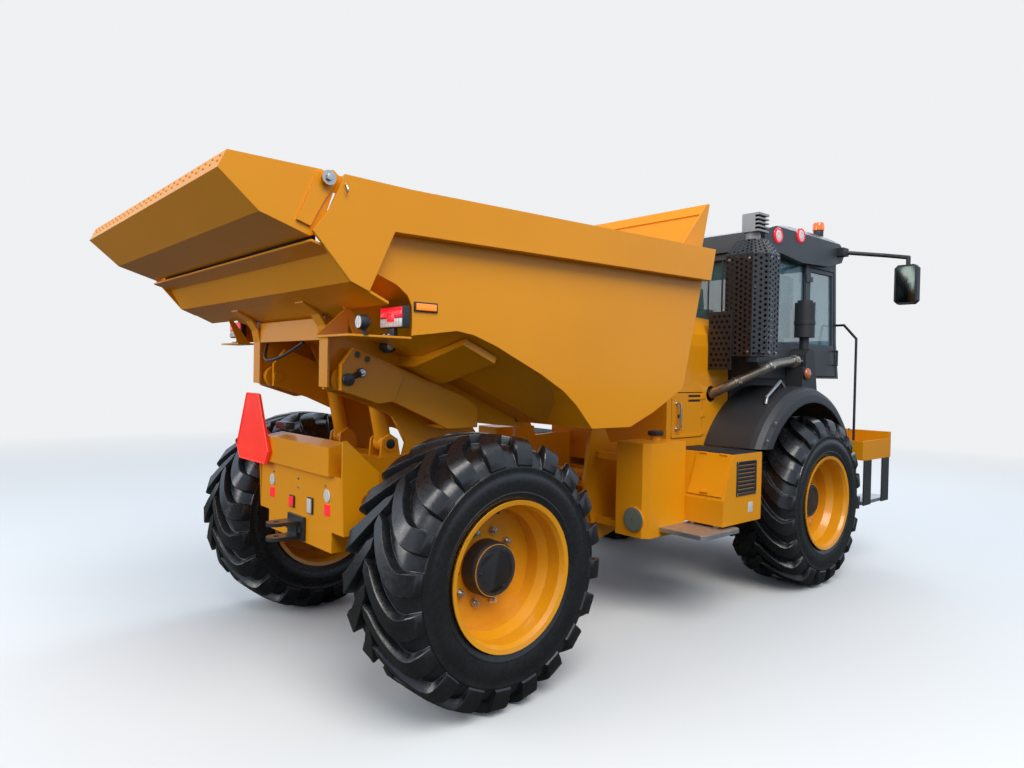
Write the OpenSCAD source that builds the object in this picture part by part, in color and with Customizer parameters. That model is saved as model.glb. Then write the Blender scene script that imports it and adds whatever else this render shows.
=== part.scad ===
// Articulated dump truck, millimetres, +X forward, +Z up, ground at z 0.
// Stations along the truck are measured from the rear axle and moved to the middle by mid_x.

/* [Wheels] */
// Distance between the two axles
wheelbase = 3300; // [3250:10:3350]
// Height of the axles above the ground, as much as the tyre's radius
axle_z = 670; // [665:1:675]
// Half of one tyre's width
tyre_half_w = 275; // [265:1:280]
// Sideways place of each wheel's middle plane
track_half = 975; // [900:5:1050]
// Radius of the rim flange
rim_r = 368; // [360:1:376]
// Radius of the hub cap
hub_r = 138; // [110:1:160]
// Wheel bolts on each rim
bolt_count = 10; // [6:1:12]
// Radius of the wheel bolt circle
bolt_circle_r = 170; // [150:1:200]

/* [Pivots] */
// Station of the steering pivot
pivot_x = 1350; // [1300:5:1400]
// Height of the swivel shaft
swivel_z = 750; // [700:5:800]
// Station of the tipping pins
tip_x = -520; // [-600:5:-450]
// Height of the tipping pins
tip_z = 1600; // [1550:5:1650]
// Station of the tail flap pins
flap_x = -935; // [-980:5:-900]
// Height of the tail flap pins
flap_z = 2425; // [2380:5:2460]
// Station of the cab door hinges
door_x = 3680; // [3640:5:3720]
// Station of the engine service door hinges
service_x = 2500; // [2450:5:2550]

/* [Dump body] */
// Outer half width of the flanks
body_y = 1050; // [950:5:1100]
// Outer half width of the top rails
rail_y = 1120; // [1080:5:1150]
// Plate thickness of the body
plate_t = 10; // [6:1:14]
// Half width of the flat part of the floor
floor_y = 660; // [600:5:720]

/* [Cab] */
// Half width of the cab above its sill
cab_y = 850; // [780:5:900]
// Height of the lower edge of the glass
glass_z = 1932; // [1920:5:1960]
// Radius of the fenders' arch
arch_r = 862; // [850:2:870]

/* [Frames] */
// Inner face of the front frame's side plates
rail_in_y = 380; // [360:5:420]
// Inner face of the rear frame's inner plates
ear_in_y = 310; // [290:5:330]
// Inner face of the rear frame's outer plates
ear_out_y = 485; // [470:5:500]

/* [Hidden] */
mid_x = 1643;
slope_a = 23.44;
floor_x = -743;
floor_z = 1983;

yellow = [0.88, 0.55, 0.06];
black = [0.09, 0.09, 0.1];
rubber = [0.05, 0.05, 0.055];
steel = [0.62, 0.63, 0.65];
glass = [0.5, 0.62, 0.65, 0.5];
red = [0.8, 0.1, 0.06];

// Helpers
module at_frame() translate([-mid_x, 0, 0]) children();

module both() { children(); mirror([0, 1, 0]) children(); }

module box(x0, x1, y0, y1, z0, z1) translate([x0, y0, z0]) cube([x1 - x0, y1 - y0, z1 - z0]);

// A side outline of [x, z] points, thick from y0 to y1.
module side(pts, y0, y1)
    translate([0, y1, 0]) rotate([90, 0, 0]) linear_extrude(height = y1 - y0) polygon(pts);

// A cross section of [y, z] points, long from x0 to x1.
module across(pts, x0, x1)
    translate([x0, 0, 0]) rotate([90, 0, 90]) linear_extrude(height = x1 - x0) polygon(pts);

// A plan outline of [x, y] points, high from z0 to z1.
module plan(pts, z0, z1)
    translate([0, 0, z0]) linear_extrude(height = z1 - z0) polygon(pts);

module y_cyl(x, z, y0, y1, r, fn = 40)
    translate([x, y0, z]) rotate([-90, 0, 0]) cylinder(r = r, h = y1 - y0, $fn = fn);

module x_cyl(x0, x1, y, z, r, fn = 40)
    translate([x0, y, z]) rotate([0, 90, 0]) cylinder(r = r, h = x1 - x0, $fn = fn);

module z_cyl(x, y, z0, z1, r, fn = 40)
    translate([x, y, z0]) cylinder(r = r, h = z1 - z0, $fn = fn);

module rod(a, b, r, fn = 24) {
    d = b - a;
    len = norm(d);
    translate(a) rotate([0, acos(d[2] / len), atan2(d[1], d[0])])
        cylinder(r = r, h = len, $fn = fn);
}

// A round bar through a list of points, with round corners.
module bent(pts, r, fn = 20) {
    for (i = [0 : len(pts) - 2]) rod(pts[i], pts[i + 1], r, fn);
    for (i = [1 : len(pts) - 2]) translate(pts[i]) sphere(r = r + 0.5, $fn = fn);
}

// The frame of the sloping floor: x along it from the rear lip, z square to it.
module on_floor()
    translate([floor_x, 0, floor_z]) rotate([0, slope_a, 0]) children();

// Wheels
// Points of the tyre as [radius, y].
TYRE = [
    [352, 37 - tyre_half_w], [372, 20 - tyre_half_w], [410, 9 - tyre_half_w],
    [470, 2 - tyre_half_w], [530, -tyre_half_w], [580, 10 - tyre_half_w],
    [axle_z - 50, 25 - tyre_half_w], [axle_z - 15, 75 - tyre_half_w], [axle_z, -120],
    [axle_z, 120], [axle_z - 15, tyre_half_w - 75], [axle_z - 50, tyre_half_w - 25],
    [580, tyre_half_w - 10], [530, tyre_half_w], [470, tyre_half_w - 2], [410, tyre_half_w - 9],
    [372, tyre_half_w - 20], [352, tyre_half_w - 37], [340, 236], [340, 200],
    [380, tyre_half_w - 60], [450, tyre_half_w - 40], [530, tyre_half_w - 37],
    [575, tyre_half_w - 60], [590, 120], [590, -120], [575, 60 - tyre_half_w],
    [530, 37 - tyre_half_w], [450, 40 - tyre_half_w], [380, 60 - tyre_half_w], [340, -200],
    [340, -236]
];
RIM = [
    [rim_r, 262], [351, 255], [340, 236], [340, 200], [337, 155], [312, 105], [312, -105],
    [337, -155], [340, -200], [340, -236], [351, -255], [rim_r, -262], [rim_r, -270], [344, -264],
    [331, -240], [329, -160], [303, -108], [303, 10], [140, 2], [140, 22], [303, 30], [303, 108],
    [329, 160], [331, 240], [344, 264], [rim_r, 270]
];

module at_wheel(x, s) translate([x, s * track_half, axle_z]) children();

module tyre(x, s) at_frame() at_wheel(x, s) color(rubber)
    rotate([90, 0, 0]) rotate_extrude($fn = 72) polygon(TYRE);

module rim(x, s) at_frame() at_wheel(x, s) mirror([0, s < 0 ? 1 : 0, 0]) color(yellow) {
    difference() {
        union() {
            rotate([-90, 0, 0]) rotate_extrude($fn = 72) polygon(RIM);
            y_cyl(0, 0, -75, 20, 150);
            for (i = [0 : bolt_count - 1]) rotate([0, i * 360 / bolt_count, 0])
                y_cyl(bolt_circle_r + 15, 0, 20, 45, 15, 6);
        }
        y_cyl(0, 0, -80, 95, 60.3);
    }
    difference() {
        union() {
            y_cyl(0, 0, 15, 105, hub_r);
            y_cyl(0, 0, 104, 130, hub_r - 8);
        }
        y_cyl(0, 0, 10, 95, 60.3);
    }
}

// Axles
module axle(x, nose) {
    y_cyl(x, axle_z, -track_half + 155, track_half - 155, 78);
    y_cyl(x, axle_z, -track_half - 80, track_half + 80, 60);
    both() y_cyl(x, axle_z, track_half - 275, track_half - 90, 165);
    both() y_cyl(x, axle_z, track_half - 335, track_half - 274, 110);
    y_cyl(x, axle_z, -165, 165, 150);
    x_cyl(min(x, x + nose), max(x, x + nose), 0, axle_z, 85);
    x_cyl(x + nose - (nose < 0 ? 25 : 0), x + nose + (nose < 0 ? 0 : 25), 0, axle_z, 60);
}

module front_axle() at_frame() color(yellow) {
    axle(wheelbase, -330);
    both() box(wheelbase - 70, wheelbase + 70, 375, 415, axle_z + 30, axle_z + 100);
}

module rear_axle() at_frame() color(yellow) {
    axle(0, 330);
    both() box(-70, 70, ear_in_y - 5, ear_in_y + 30, axle_z + 30, axle_z + 100);
}

// Front unit
FRONT_RAIL = [
    [1385, 900], [1400, 820], [1455, 640], [1480, 500], [1560, 480], [1900, 560],
    [wheelbase - 110, 600], [wheelbase - 110, 770], [wheelbase + 110, 770],
    [wheelbase + 110, 600], [4450, 640], [4560, 740], [4560, 950], [2050, 950],
    [2050, 1165], [1900, 1165], [1650, 1150], [1590, 1258], [1447, 1264],
    [1425, 1130], [1400, 960]
];

module front_frame() at_frame() color(yellow) {
    both() side(FRONT_RAIL, rail_in_y, rail_in_y + 30);
    difference() {
        union() {
            for (z = [[560, 595], [905, 940]]) {
                plan([[pivot_x, -100], [1560, -385], [1620, -385], [1620, 385], [1560, 385],
                      [pivot_x, 100]], z[0], z[1]);
                z_cyl(pivot_x, 0, z[0], z[1], 100);
            }
        }
        z_cyl(pivot_x, 0, 500, 1000, 41);
    }
    difference() {
        box(1540, 1575, -385, 385, 590, 910);
        both() box(1500, 1600, 175, 372, 670, 830);
    }
    both() for (z = [[690, 707], [793, 810]])
        plan([[1800, 385], [1800, 300], [1815, 262], [1885, 262], [1900, 300], [1900, 385]],
             z[0], z[1]);
    both() z_cyl(1850, 300, 680, 820, 25);
    for (x = [[2000, 2030], [2850, 2890], [3900, 3940], [4520, 4560]])
        box(x[0], x[1], -rail_in_y - 5, rail_in_y + 5, 680, 900);
}

module engine_block() at_frame() color(black) {
    box(2180, 2800, -300, 300, 905, 1540);
    box(2320, 2800, -260, 260, 1539, 1750);
    both() box(2250, 2700, 295, rail_in_y, 905, 945);
}

PANEL = [[2050, 950], [2050, 1490], [2122, 1560], [2250, 1570], [2470, 1640], [2860, 1660],
         [2860, 950]];

// Upper rear corners, cut back for the body's front edge at full lock.
CORNER = [[1996, 464], [2131, 634], [1996, 634]];

module service_hole() box(2106, service_x + 4, 560, 640, 1176, 1524);

module engine_panels() at_frame() color(yellow) {
    panel_box();
    both() for (z = [1210, 1350, 1490])
        box(service_x + 1.3, service_x + 40, 599, 606, z - 18, z + 18);
}

module panel_box() difference() {
    difference() {
        side(PANEL, -600, 600);
        both() plan(CORNER, 1472, 1700);
    }
    difference() {
        side([[2060, 960], [2060, 1486], [2126, 1550], [2252, 1560], [2400, 1700], [2850, 1700],
              [2850, 960]], -590, 590);
        both() translate([7.8, -6.2, 0]) plan(CORNER, 1462, 1710);
    }
    box(2080, 2840, -370, 370, 940, 970);
    both() service_hole();
    translate([2620, -700, 1509]) rotate([-90, 0, 0]) cylinder(r = 64, h = 150, $fn = 40);
}

module service_door() color(yellow) {
    difference() {
        box(2112, service_x, 588, 600, 1182, 1518);
        for (z = [1450, 1485]) box(2320, 2480, 580, 610, z, z + 18);
    }
    box(2112, service_x - 24, 600, 606, 1182, 1200);
    bent([[2170, 599, 1250], [2170, 640, 1250], [2170, 640, 1440], [2170, 599, 1440]], 9);
    for (z = [1210, 1350, 1490]) z_cyl(service_x - 8, 600, z - 20, z + 20, 9);
}
module service_door_left() at_frame() service_door();
module service_door_right() at_frame() mirror([0, 1, 0]) service_door();

HOOD_SIDE = [[2110, 1560], [2285, 2050], [2330, 2115], [2410, 2150], [2860, 2150], [2860, 1660],
             [2470, 1640], [2250, 1570]];
HOOD_IN = [[2060, 1400], [2134, 1562], [2299, 2040], [2342, 2101], [2415, 2138], [2900, 2138],
           [2900, 1400]];
HOOD_SEC = [[-600, 1400], [-600, 1880], [-585, 1970], [-535, 2050], [-440, 2110], [-300, 2142],
            [-150, 2150], [150, 2150], [300, 2142], [440, 2110], [535, 2050], [585, 1970],
            [600, 1880], [600, 1400]];
HOOD_SEC_IN = [[-588, 1400], [-588, 1878], [-573, 1962], [-526, 2038], [-435, 2097], [-298, 2130],
               [-150, 2138], [150, 2138], [298, 2130], [435, 2097], [526, 2038], [573, 1962],
               [588, 1878], [588, 1400]];

module hood_cover() at_frame() color(yellow) difference() {
    intersection() {
        side(HOOD_SIDE, -600, 600);
        across(HOOD_SEC, 2050, 2870);
    }
    intersection() {
        side(HOOD_IN, -588, 588);
        across(HOOD_SEC_IN, 2000, 2950);
    }
}

// Cab
CAB = [[2880, 1645], [4290, 1645], [4229, 1972], [4186, 2700], [3310, 2675], [2880, 2660]];
CAB_IN = [[2910, 1600], [4262, 1600], [4192, 1972], [4149, 2800], [2910, 2800]];
TUB = [[2880, 1200], [4100, 1200], [4240, 1400], [4250, 1645], [2880, 1645]];
TUB_IN = [[2905, 1225], [4085, 1225], [4217, 1410], [4225, 1700], [2905, 1700]];
SIDE_WIN = [[2935, glass_z], [3632, glass_z], [3632, 2628], [3310, 2628], [2935, 2615]];
DOOR_HOLE = [[3680, 1660], [4250, 1660], [4193, 1972], [4156, 2604], [3680, 2604]];

module cab_frame() at_frame() color(black) {
    difference() {
        side(CAB, -cab_y, cab_y);
        side(CAB_IN, -cab_y + 40, cab_y - 40);
        both() side(SIDE_WIN, cab_y - 80, cab_y + 20);
        both() side(DOOR_HOLE, cab_y - 80, cab_y + 20);
        box(2860, 2950, -cab_y + 60, cab_y - 60, glass_z + 30, 2600);
        box(4100, 4350, -cab_y + 50, cab_y - 50, 1990, 2640);
    }
    both() for (z = [1800, 2150, 2500])
        box(door_x - 50, door_x + 0.2, cab_y - 5, cab_y + 8, z - 30, z + 30);
    difference() {
        box(2909, 4248, -cab_y + 39, cab_y - 39, 1645, 1665);
        box(2935, 4190, -560, 560, 1600, 1700);
    }
}

// Posts between the frame and the foot well.
module cab_posts() at_frame() color(black)
    both() for (x = [2950, 3900]) box(x, x + 60, rail_in_y, rail_in_y + 30, 950.3, 1199.7);

// The foot well under the cab's sill, between the front wheels.
module cab_tub() at_frame() color(black) difference() {
    side(TUB, -600, 600);
    side(TUB_IN, -575, 575);
}

module cab_screen() at_frame() color(black) {
    for (i = [-5 : 5]) rod([2870, i * 130, glass_z + 20], [2870, i * 130, 2620], 7, 14);
    for (z = [glass_z + 10, 2600]) box(2863, 2880, -670, 670, z, z + 20);
}

ROOF = [[2845, 2799], [3000, 2845], [3136, 2873], [3443, 2911], [3773, 2920], [4090, 2880],
        [4212, 2812], [4232, 2750], [4190, 2688], [3950, 2628], [3459, 2607], [3148, 2640],
        [2845, 2655]];

module cab_roof() at_frame() color(black) {
    difference() {
        intersection() {
            side(ROOF, -900, 900);
            across([[-900, 2590], [-900, 2850], [-840, 2900], [-600, 2925], [600, 2925],
                    [840, 2900], [900, 2850], [900, 2590]], 2700, 4400);
        }
        side([[2700, 2400], [2879.7, 2400], [2879.7, 2660.3], [3310, 2675.3], [4186.3, 2700.3],
              [4260, 2400]], -cab_y - 0.3, cab_y + 0.3);
        side([[2960, 2600], [3340, 2610], [4110, 2640], [4110, 2810], [3770, 2875], [3443, 2868],
              [3000, 2800]], -780, 780);
    }
}

module cab_glass() at_frame() color(glass) {
    both() side(SIDE_WIN, cab_y - 30, cab_y - 24);
    box(2904, 2910, -cab_y + 60, cab_y - 60, glass_z + 30, 2600);
    side([[4206, 1990], [4212, 1990], [4174, 2640], [4168, 2640]], -cab_y + 50, cab_y - 50);
}

DOOR = [[3686, 1666], [4243, 1666], [4187, 1972], [4150, 2598], [3686, 2598]];
DOOR_WIN = [[3722, glass_z + 12], [4152, glass_z + 12], [4117, 2566], [3722, 2566]];

module door_shape() color(black) {
    difference() {
        side(DOOR, cab_y - 34, cab_y - 4);
        side(DOOR_WIN, cab_y - 60, cab_y + 20);
    }
    for (z = [1800, 2150, 2500]) z_cyl(door_x + 8, cab_y + 4, z - 35, z + 35, 7.5);
    for (z = [1800, 2150, 2500]) box(door_x + 6, door_x + 70, cab_y - 10, cab_y + 4, z - 20, z + 20);
    bent([[4180, cab_y - 6, 1770], [4180, cab_y + 35, 1770], [4180, cab_y + 35, 1895],
          [4180, cab_y - 6, 1895]], 9);
}
module door_left() at_frame() door_shape();
module door_right() at_frame() mirror([0, 1, 0]) door_shape();
module door_glass_left() at_frame() color(glass) side(DOOR_WIN, cab_y - 22, cab_y - 16);
module door_glass_right() at_frame() mirror([0, 1, 0]) color(glass)
    side(DOOR_WIN, cab_y - 22, cab_y - 16);

module operator_chair() at_frame() color(black) {
    box(3230, 3600, -170, 170, 1225, 1500);
    box(3180, 3700, -250, 250, 1500, 1640);
    side([[3180, 1630], [3300, 1630], [3200, 2230], [3100, 2230]], -230, 230);
    side([[3115, 2220], [3205, 2220], [3180, 2420], [3110, 2420]], -130, 130);
    both() box(3250, 3600, 255, 320, 1780, 1830);
    both() box(3270, 3330, 225, 260, 1560, 1800);
    both() box(3270, 3330, 255, 300, 1740, 1785);
}

module control_column() at_frame() color(black) {
    rod([4020, 0, 1240], [3860, 0, 1900], 45);
    translate([3850, 0, 1930]) rotate([0, -16, 0]) {
        rotate_extrude($fn = 40) translate([190, 0]) circle(r = 15, $fn = 20);
        for (a = [30, 150, 270]) rotate([0, 0, a]) translate([0, -10, -8]) cube([185, 20, 12]);
        translate([0, 0, -40]) cylinder(r = 50, h = 50, $fn = 30);
    }
    box(3920, 4070, -260, 260, 1225, 1300);
}

// The wall of the arch as [radius, y] about the arch's own middle.
FENDER = [
    [arch_r, 600], [arch_r, 985], [arch_r - 7, 1030], [arch_r - 30, 1068], [arch_r - 67, 1093],
    [arch_r - 114, 1100], [735, 1100], [735, 1087], [arch_r - 115, 1087], [arch_r - 73, 1081],
    [arch_r - 39, 1059], [arch_r - 19, 1025], [arch_r - 13, 983], [arch_r - 13, 612],
    [735, 612], [735, 600]
];
COWL = [[3310, 1568], [3310, 1735], [3364, 1738], [3364, 1840], [3425, 1890], [3500, 1880],
        [3570, 1528], [3440, 1550]];

module fenders() at_frame() color(black) {
    both() intersection() {
        translate([wheelbase, 0, 718]) rotate([-90, 0, 0]) rotate_extrude($fn = 96)
            polygon(FENDER);
        box(2300, 4300, 590, 1110, 1115.3, 1700);
    }
    both() bent([[2827, 953, 1438], [2843, 953, 1497], [3096, 925, 1618], [3180, 912, 1567]], 11);
    mirror([0, 1, 0]) side(COWL, 855, 1000);
}

// A canister beside the cab, standing on the right fender's cowl.
module side_filter() at_frame() color(black) mirror([0, 1, 0]) {
    z_cyl(3455, 935, 1985, 2270, 80);
    z_cyl(3455, 935, 2269, 2290, 60);
    z_cyl(3455, 935, 2090, 2120, 84);
    difference() {
        z_cyl(3455, 935, 1860, 1990, 38);
        translate([0, 0, 0.3]) side(COWL, 850, 1010);
    }
}

module exhaust_pipe() at_frame() color(steel) {
    bent([[2610, -560, 1490], [2650, -720, 1570], [2783, -880, 1680], [2910, -915, 1727],
          [3062, -915, 1762], [3360.3, -915, 1787]], 40, 32);
    rod([3300, -915, 1782], [3359.6, -915, 1787], 46, 32);
}

GUARD = [[2580, -730], [2580, -960], [2670, -1040], [2830, -1040], [2830, -730]];
GUARD_IN = [[2590, -720], [2590, -955], [2675, -1030], [2820, -1030], [2820, -720]];

module exhaust_guard() at_frame() color(black) {
    difference() {
        plan(GUARD, 1805, 2580);
        plan(GUARD_IN, 1700, 2700);
    }
    difference() {
        intersection() {
            plan(GUARD, 2575, 2720);
            side([[2580, 2560], [2640, 2695], [2780, 2695], [2830, 2560]], -1100, -700);
            across([[-1040, 2560], [-970, 2695], [-790, 2695], [-730, 2560]], 2500, 2900);
        }
        intersection() {
            plan(GUARD_IN, 2570, 2700);
            side([[2590, 2550], [2650, 2684], [2770, 2684], [2820, 2550]], -1100, -700);
            across([[-1030, 2550], [-962, 2684], [-798, 2684], [-720, 2550]], 2500, 2900);
        }
    }
    box(2565, 2580.5, -800, -600, 1700, 2150);
    box(2585, 2630, -735, -600, 1850, 1880);
    z_cyl(2710, -880, 1765, 2690, 60);
    box(2600, 2780, -1035, -730, 1830, 1842);
}

module air_intake() at_frame() color(steel) {
    z_cyl(2710, -880, 2695, 2755, 55);
    difference() {
        box(2640, 2790, -965, -825, 2750, 2890);
        for (z = [2765, 2795, 2825, 2855]) {
            box(2630, 2800, -975, -935, z, z + 18);
            box(2755, 2800, -950, -840, z, z + 18);
        }
    }
}

// Side units
module side_tanks() at_frame() color(yellow) {
    both() {
        plan([[1450, 640], [1450, 860], [1490, 900], [1870, 900], [1870, 630], [1460, 630]],
             575, 1200);
        z_cyl(1765, 720, 1195, 1232, 34);
        z_cyl(1765, 720, 1230, 1262, 48);
        for (z = [600, 1060]) box(1500, 1560, 410, 640, z, z + 45);
        for (z = [600, 1060]) box(1790, 1850, 410, 640, z, z + 45);
        x_cyl(1440, 1452, 800, 695, 80);
    }
}

TOOL_BOX = [[1870, 655], [1870, 825], [1990, 1125], [2350, 1125], [2350, 655]];
TOOL_BOX_IN = [[1880, 665], [1880, 827], [1990, 1100], [1990, 1115], [2340, 1115], [2340, 665]];
LID_A = atan2(300, 120);

module tool_boxes() at_frame() color(yellow) {
    both() difference() {
        side(TOOL_BOX, 660, 1200);
        side(TOOL_BOX_IN, 672, 1188);
        side([[1866, 850], [1890, 842], [1994, 1102], [1970, 1112]], 925, 1175);
        for (i = [0 : 7]) box(2040, 2260, 1180, 1210, 860 + i * 27, 872 + i * 27);
    }
    both() box(2100, 2160, 410, 665, 700, 760);
}

// A flap on the sloping rear face, drawn in its own plane from the upper edge down.
module tool_lid() translate([1990, 0, 1125]) rotate([0, 90 - LID_A, 0]) color(yellow) {
    box(-8.3, -0.3, 915, 1185, -300, -8);
    box(-20, -8, 1020, 1080, -285, -265);
    for (y = [970, 1130]) y_cyl(-8.3, -8, y - 30, y + 30, 8);
}
module tool_lid_left() at_frame() tool_lid();
module tool_lid_right() at_frame() mirror([0, 1, 0]) tool_lid();

module access_steps() at_frame() color(steel) {
    both() {
        plan([[1590, 900], [2021, 900], [2021, 1220], [1990, 1250], [1620, 1250], [1590, 1220]],
             612, 640);
        for (y = [940, 1120]) box(1885, 1915, y, y + 30, 639, 655);
        box(4050, 4600, 1000, 1189.7, 560, 590);
        box(4300, 4330, 1000, 1020, 589, 945);
    }
}

// Straps that carry the outer edge of the front steps.
module step_straps() at_frame() color(black)
    both() for (x = [4060, 4440]) box(x, x + 150, 1190, 1200, 555, 944.7);

module front_platform() at_frame() color(yellow) {
    difference() {
        box(4020, 4615, -1200, 1200, 950, 1115);
        box(4030, 4570, -1190, 1190, 965, 1200);
    }
    box(4560, 4615, -1200, 1200, 945, 1175);
    both() box(4060, 4610, 985, 1200, 945, 951);
}

module handrails() at_frame() color(black) {
    both() bent([[4300, 1000, 965], [4300, 1000, 2010], [4202, 930, 2130], [4202, 850.3, 2130]], 11);
}

module mirrors() at_frame() color(black) {
    both() {
        box(4085, 4190, 900, 960, 2740, 2810);
        bent([[4170, 940, 2775], [4350, 1200, 2745], [4350, 1400, 2705], [4350, 1400, 2630]], 18);
        across([[1302, 2330], [1330, 2302], [1459, 2302], [1487, 2330], [1487, 2613], [1459, 2641],
                [1330, 2641], [1302, 2613]], 4315, 4385);
    }
}

ROOF_LAMPS = [[3043, 2777], [3411, 2829]];

module front_lamps() at_frame() color(red) {
    both() for (p = ROOF_LAMPS) {
        y_cyl(p[0], p[1], 900, 915, 62);
    }
    difference() {
        z_cyl(3945, -795, 2860, 2960, 42);
        side(ROOF, -900, 900);
    }
    z_cyl(3945, -795, 2955, 3026, 50);
    mirror([0, 1, 0]) y_cyl(3365, 1686, 1000, 1030, 50);
    both() {
        x_cyl(4615, 4650, 980, 1060, 65);
        x_cyl(4615, 4640, 1110, 1060, 40);
    }
}

// Centre
module centre_joint() at_frame() color(yellow) {
    z_cyl(pivot_x, 0, 605, 895, 80);
    z_cyl(pivot_x, 0, 545, 955, 40);
    x_cyl(1238, pivot_x, 0, swivel_z, 78);
    x_cyl(1238, 1262, 0, swivel_z, 95);
    x_cyl(985, 1300, 0, swivel_z, 60);
    x_cyl(970, 1000, 0, swivel_z, 85);
    both() for (z = [[692, 709], [791, 808]]) {
        plan([[1345, 30], [1345, 95], [1195, 308], [1150, 309], [1106, 235], [1240, 108],
              [1290, 30]], z[0], z[1]);
        z_cyl(1150, 260, z[0], z[1], 50);
    }
    both() for (z = [[676, 693], [807, 824]]) z_cyl(1150, 260, z[0], z[1], 30);
}

STEER_A = atan2(40, 700);

module steer_barrel() at_frame() translate([1850, 300, swivel_z]) rotate([0, 0, -(180 - STEER_A)])
    color(black) difference() {
        union() {
            z_cyl(0, 0, -38, 38, 42);
            x_cyl(20, 425, 0, 0, 38);
        }
        z_cyl(0, 0, -50, 50, 26);
        x_cyl(60, 405, 0, 0, 30);
        x_cyl(400, 430, 0, 0, 22.3);
    }
module steer_rod() at_frame() translate([1850, 300, swivel_z]) rotate([0, 0, -(180 - STEER_A)])
    color(steel) {
        x_cyl(230, 675, 0, 0, 22);
        z_cyl(701.1, 0, -34, 34, 42);
    }
module steer_barrel_left() steer_barrel();
module steer_barrel_right() mirror([0, 1, 0]) steer_barrel();
module steer_rod_left() steer_rod();
module steer_rod_right() mirror([0, 1, 0]) steer_rod();

// Rear unit
EAR_OUT = [[-550, 1545], [-550, 1675], [-480, 1765], [-60, 1615], [260, 1495], [340, 1435],
           [340, 1325], [120, 1325], [20, 1375], [-240, 1485], [-330, 1475]];
EAR_IN = [[-550, 1545], [-550, 1675], [-480, 1765], [-60, 1615], [260, 1495], [340, 1435],
          [520, 1215], [700, 1040], [1000, 880], [1000, 640], [500, 600], [110, 600],
          [75, 770], [-75, 770], [-110, 600], [-300, 640], [-430, 800], [-430, 1160],
          [-60, 1163], [-39, 1237], [-81, 1313], [-129, 1388], [-330, 1475]];

module rear_frame() at_frame() color(yellow) {
    both() {
        difference() {
            side(EAR_IN, ear_in_y, ear_in_y + 25);
            y_cyl(250, 1120, ear_in_y - 5, ear_in_y + 30, 150);
        }
        side(EAR_OUT, ear_out_y, ear_out_y + 25);
        side([[-480, 1765], [-550, 1675], [-550, 1545], [-330, 1475], [-240, 1485], [-180, 1625]],
             ear_out_y + 24, ear_out_y + 37);
        side([[110, 1325], [330, 1325], [330, 1342], [110, 1342]], ear_in_y + 20, ear_out_y + 5);
        y_cyl(tip_x, tip_z, ear_in_y - 8, ear_out_y + 45, 30);
        y_cyl(-130, 1235, 176, ear_in_y + 4, 28);
        side([[-190, 1160], [-180, 1260], [-130, 1292], [-80, 1260], [-60, 1160]], 174, 192);
        side([[-190, 1160], [-180, 1260], [-130, 1292], [-80, 1260], [-60, 1160]],
             ear_in_y - 18, ear_in_y + 1);
    }
    box(-200, -50, -ear_in_y - 5, ear_in_y + 5, 1130, 1165);
    x_tube();
    box(-60, 60, -ear_in_y - 5, ear_in_y + 5, 830, 900);
    box(-430, -400, -ear_in_y - 5, ear_in_y + 5, 830, 1100);
    box(560, 590, -ear_in_y - 5, ear_in_y + 5, 700, 1000);
}

module x_tube() difference() {
    union() {
        x_cyl(1008, 1228, 0, swivel_z, 95);
        box(960, 1010, -ear_in_y - 5, ear_in_y + 5, 640, 870);
        side([[1005, 660], [1005, 840], [1180, 790], [1180, 710]], -15, 15);
    }
    x_cyl(940, 1240, 0, swivel_z, 60.4);
    x_cyl(940, 1006, 0, swivel_z, 92);
}

module rear_box() at_frame() color(yellow) {
    difference() {
        union() {
            box(-530, -430, -530, 530, 800, 1095);
            box(-530, -430, -400, 400, 690, 801);
            side([[-560, 1094], [-560, 1245], [-450, 1265], [-430, 1245], [-430, 1094]], -415, 415);
        }
        box(-515, -446, -515, 515, 815, 1080);
        box(-515, -446, -385, 385, 705, 830);
        side([[-545, 1105], [-545, 1234], [-454, 1250], [-446, 1235], [-446, 1105]], -400, 400);
    }
    difference() {
        both() side([[-530, 807], [-541, 1097], [-541, 1285], [-520, 1290], [-326, 1111],
                     [-326, 830], [-350, 807]], 518, 530);
        y_cyl(-385, 960, -540, 540, 45);
        box(-600, -495, 500, 720, 1100, 1300);
    }
    side([[-480, 1090], [-500, 1140], [-500, 1170], [-470, 1170], [-440, 1130], [-440, 1090]], 413, 620);
}

module tow_hitch() at_frame() color(black) {
    box(-548, -530, -100, 100, 700, 830);
    difference() {
        union() {
            for (z = [[705, 725], [785, 805]]) {
                box(-660, -545, -55, 55, z[0], z[1]);
                z_cyl(-655, 0, z[0], z[1], 55);
            }
            box(-565, -545, -55, 55, 705, 805);
        }
        z_cyl(-655, 0, 690, 820, 16);
    }
    both() box(-560, -545, 60, 90, 745, 775);
}

module marker_triangle() at_frame() color(red) {
    across([[356, 1081], [746, 1081], [798, 1158], [644, 1490], [458, 1490], [304, 1158]],
           -580, -566);
    box(-570, -500, 530, 590, 1140, 1172);
}

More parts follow.
